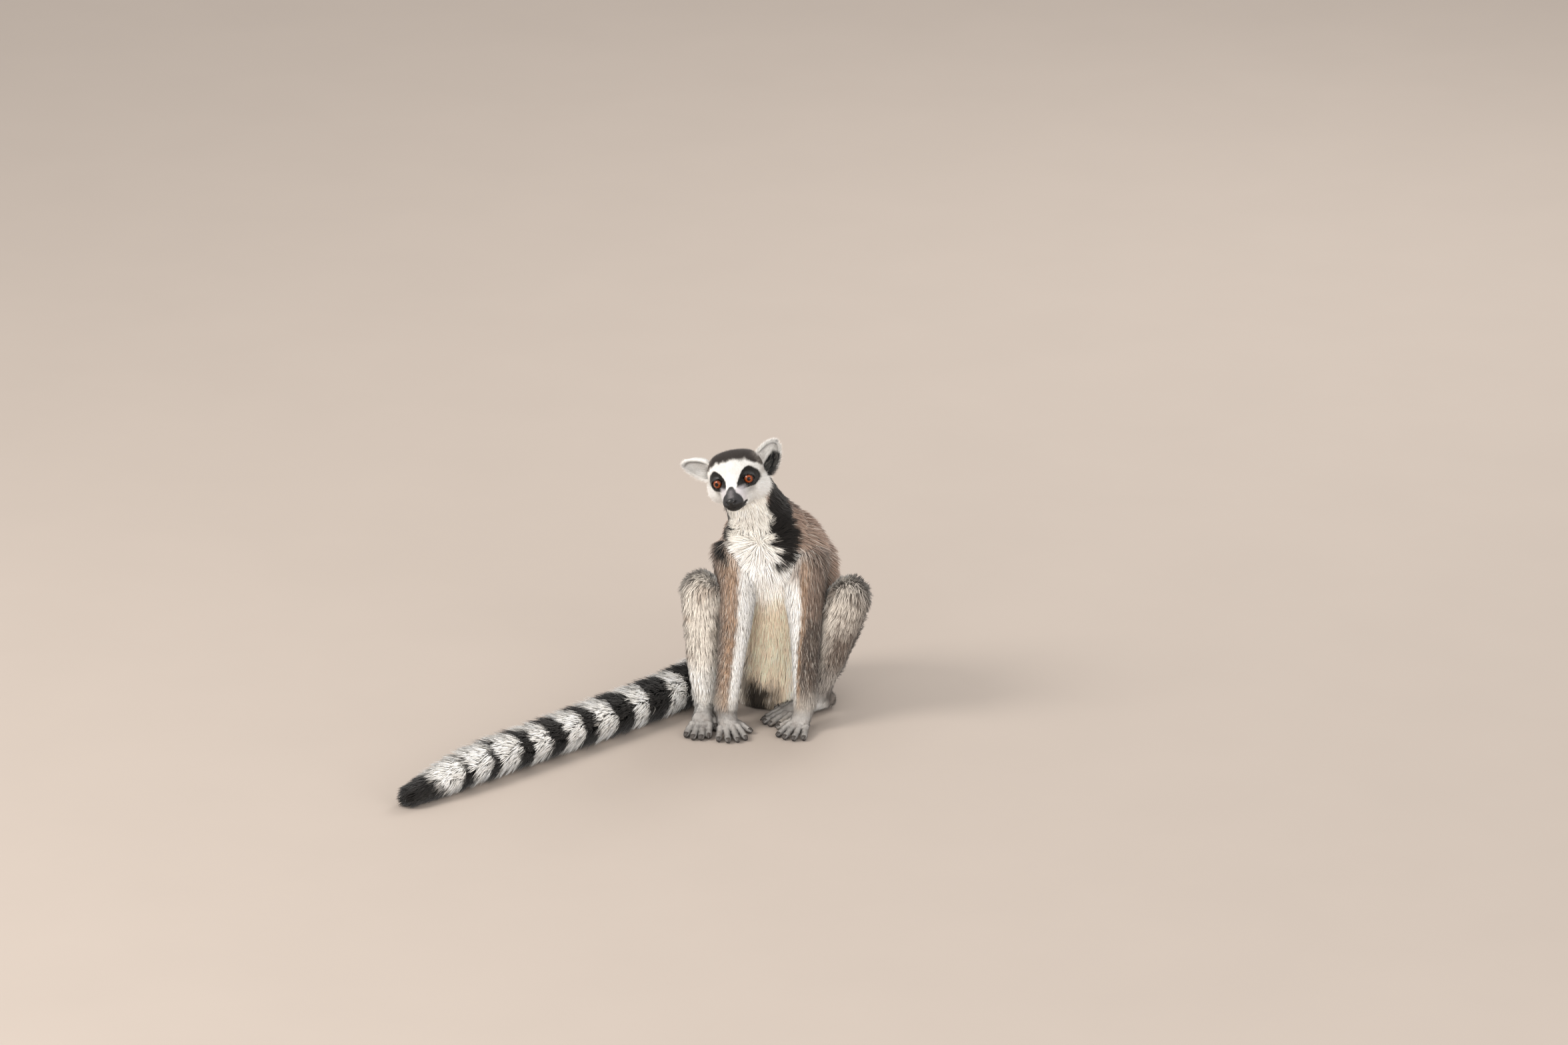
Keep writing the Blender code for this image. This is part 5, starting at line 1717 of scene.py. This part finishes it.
class LEMUR_OT_coat(bpy.types.Operator):
    """Grow the coat on the skin, in joined locks"""

    bl_idname = "lemur.coat"
    bl_label = "Coat"

    def execute(self, context):
        props = context.scene.lemur_coat
        make_coat(props, shades(props))
        return {"FINISHED"}


class LEMUR_OT_eyes(bpy.types.Operator):
    """Make both eyeballs"""

    bl_idname = "lemur.eyes"
    bl_label = "Eyes"

    def execute(self, context):
        make_eyes(context.scene.lemur_eyes)
        return {"FINISHED"}


class LEMUR_OT_nails(bpy.types.Operator):
    """Make the nails of the hands and feet"""

    bl_idname = "lemur.nails"
    bl_label = "Nails"

    def execute(self, context):
        make_nails()
        return {"FINISHED"}


class LEMUR_OT_stage(bpy.types.Operator):
    """Make the floor, lights and camera"""

    bl_idname = "lemur.stage"
    bl_label = "Stage"

    def execute(self, context):
        make_stage(context.scene.lemur_stage)
        return {"FINISHED"}


OPERATORS = (LEMUR_OT_skin, LEMUR_OT_coat, LEMUR_OT_eyes, LEMUR_OT_nails, LEMUR_OT_stage)


class LEMUR_PT_panel(bpy.types.Panel):
    """The lemur's sizes, colours and making, in order"""

    bl_label = "Ring-tailed lemur"
    bl_idname = "LEMUR_PT_panel"
    bl_space_type = "VIEW_3D"
    bl_region_type = "UI"
    bl_category = "Lemur"

    def draw(self, context):
        for props in (context.scene.lemur_coat, context.scene.lemur_eyes, context.scene.lemur_stage):
            box = self.layout.box()
            for name in props.__annotations__:
                box.prop(props, name)
        for operator in OPERATORS:
            self.layout.operator(operator.bl_idname)


GROUPS = {"lemur_coat": LemurCoat, "lemur_eyes": LemurEyes, "lemur_stage": LemurStage}


def register():
    """Makes the settings, the operators and the panel known."""
    for cls in (*GROUPS.values(), *OPERATORS, LEMUR_PT_panel):
        bpy.utils.register_class(cls)
    for name, cls in GROUPS.items():
        setattr(bpy.types.Scene, name, PointerProperty(type=cls))


def unregister():
    """Undoes register."""
    for name in GROUPS:
        delattr(bpy.types.Scene, name)
    for cls in (LEMUR_PT_panel, *OPERATORS, *GROUPS.values()):
        bpy.utils.unregister_class(cls)


def main():
    """Makes every piece and the stage."""
    register()
    bpy.ops.lemur.stage()
    bpy.ops.lemur.skin()
    bpy.ops.lemur.coat()
    bpy.ops.lemur.eyes()
    bpy.ops.lemur.nails()


if __name__ == "__main__":
    main()
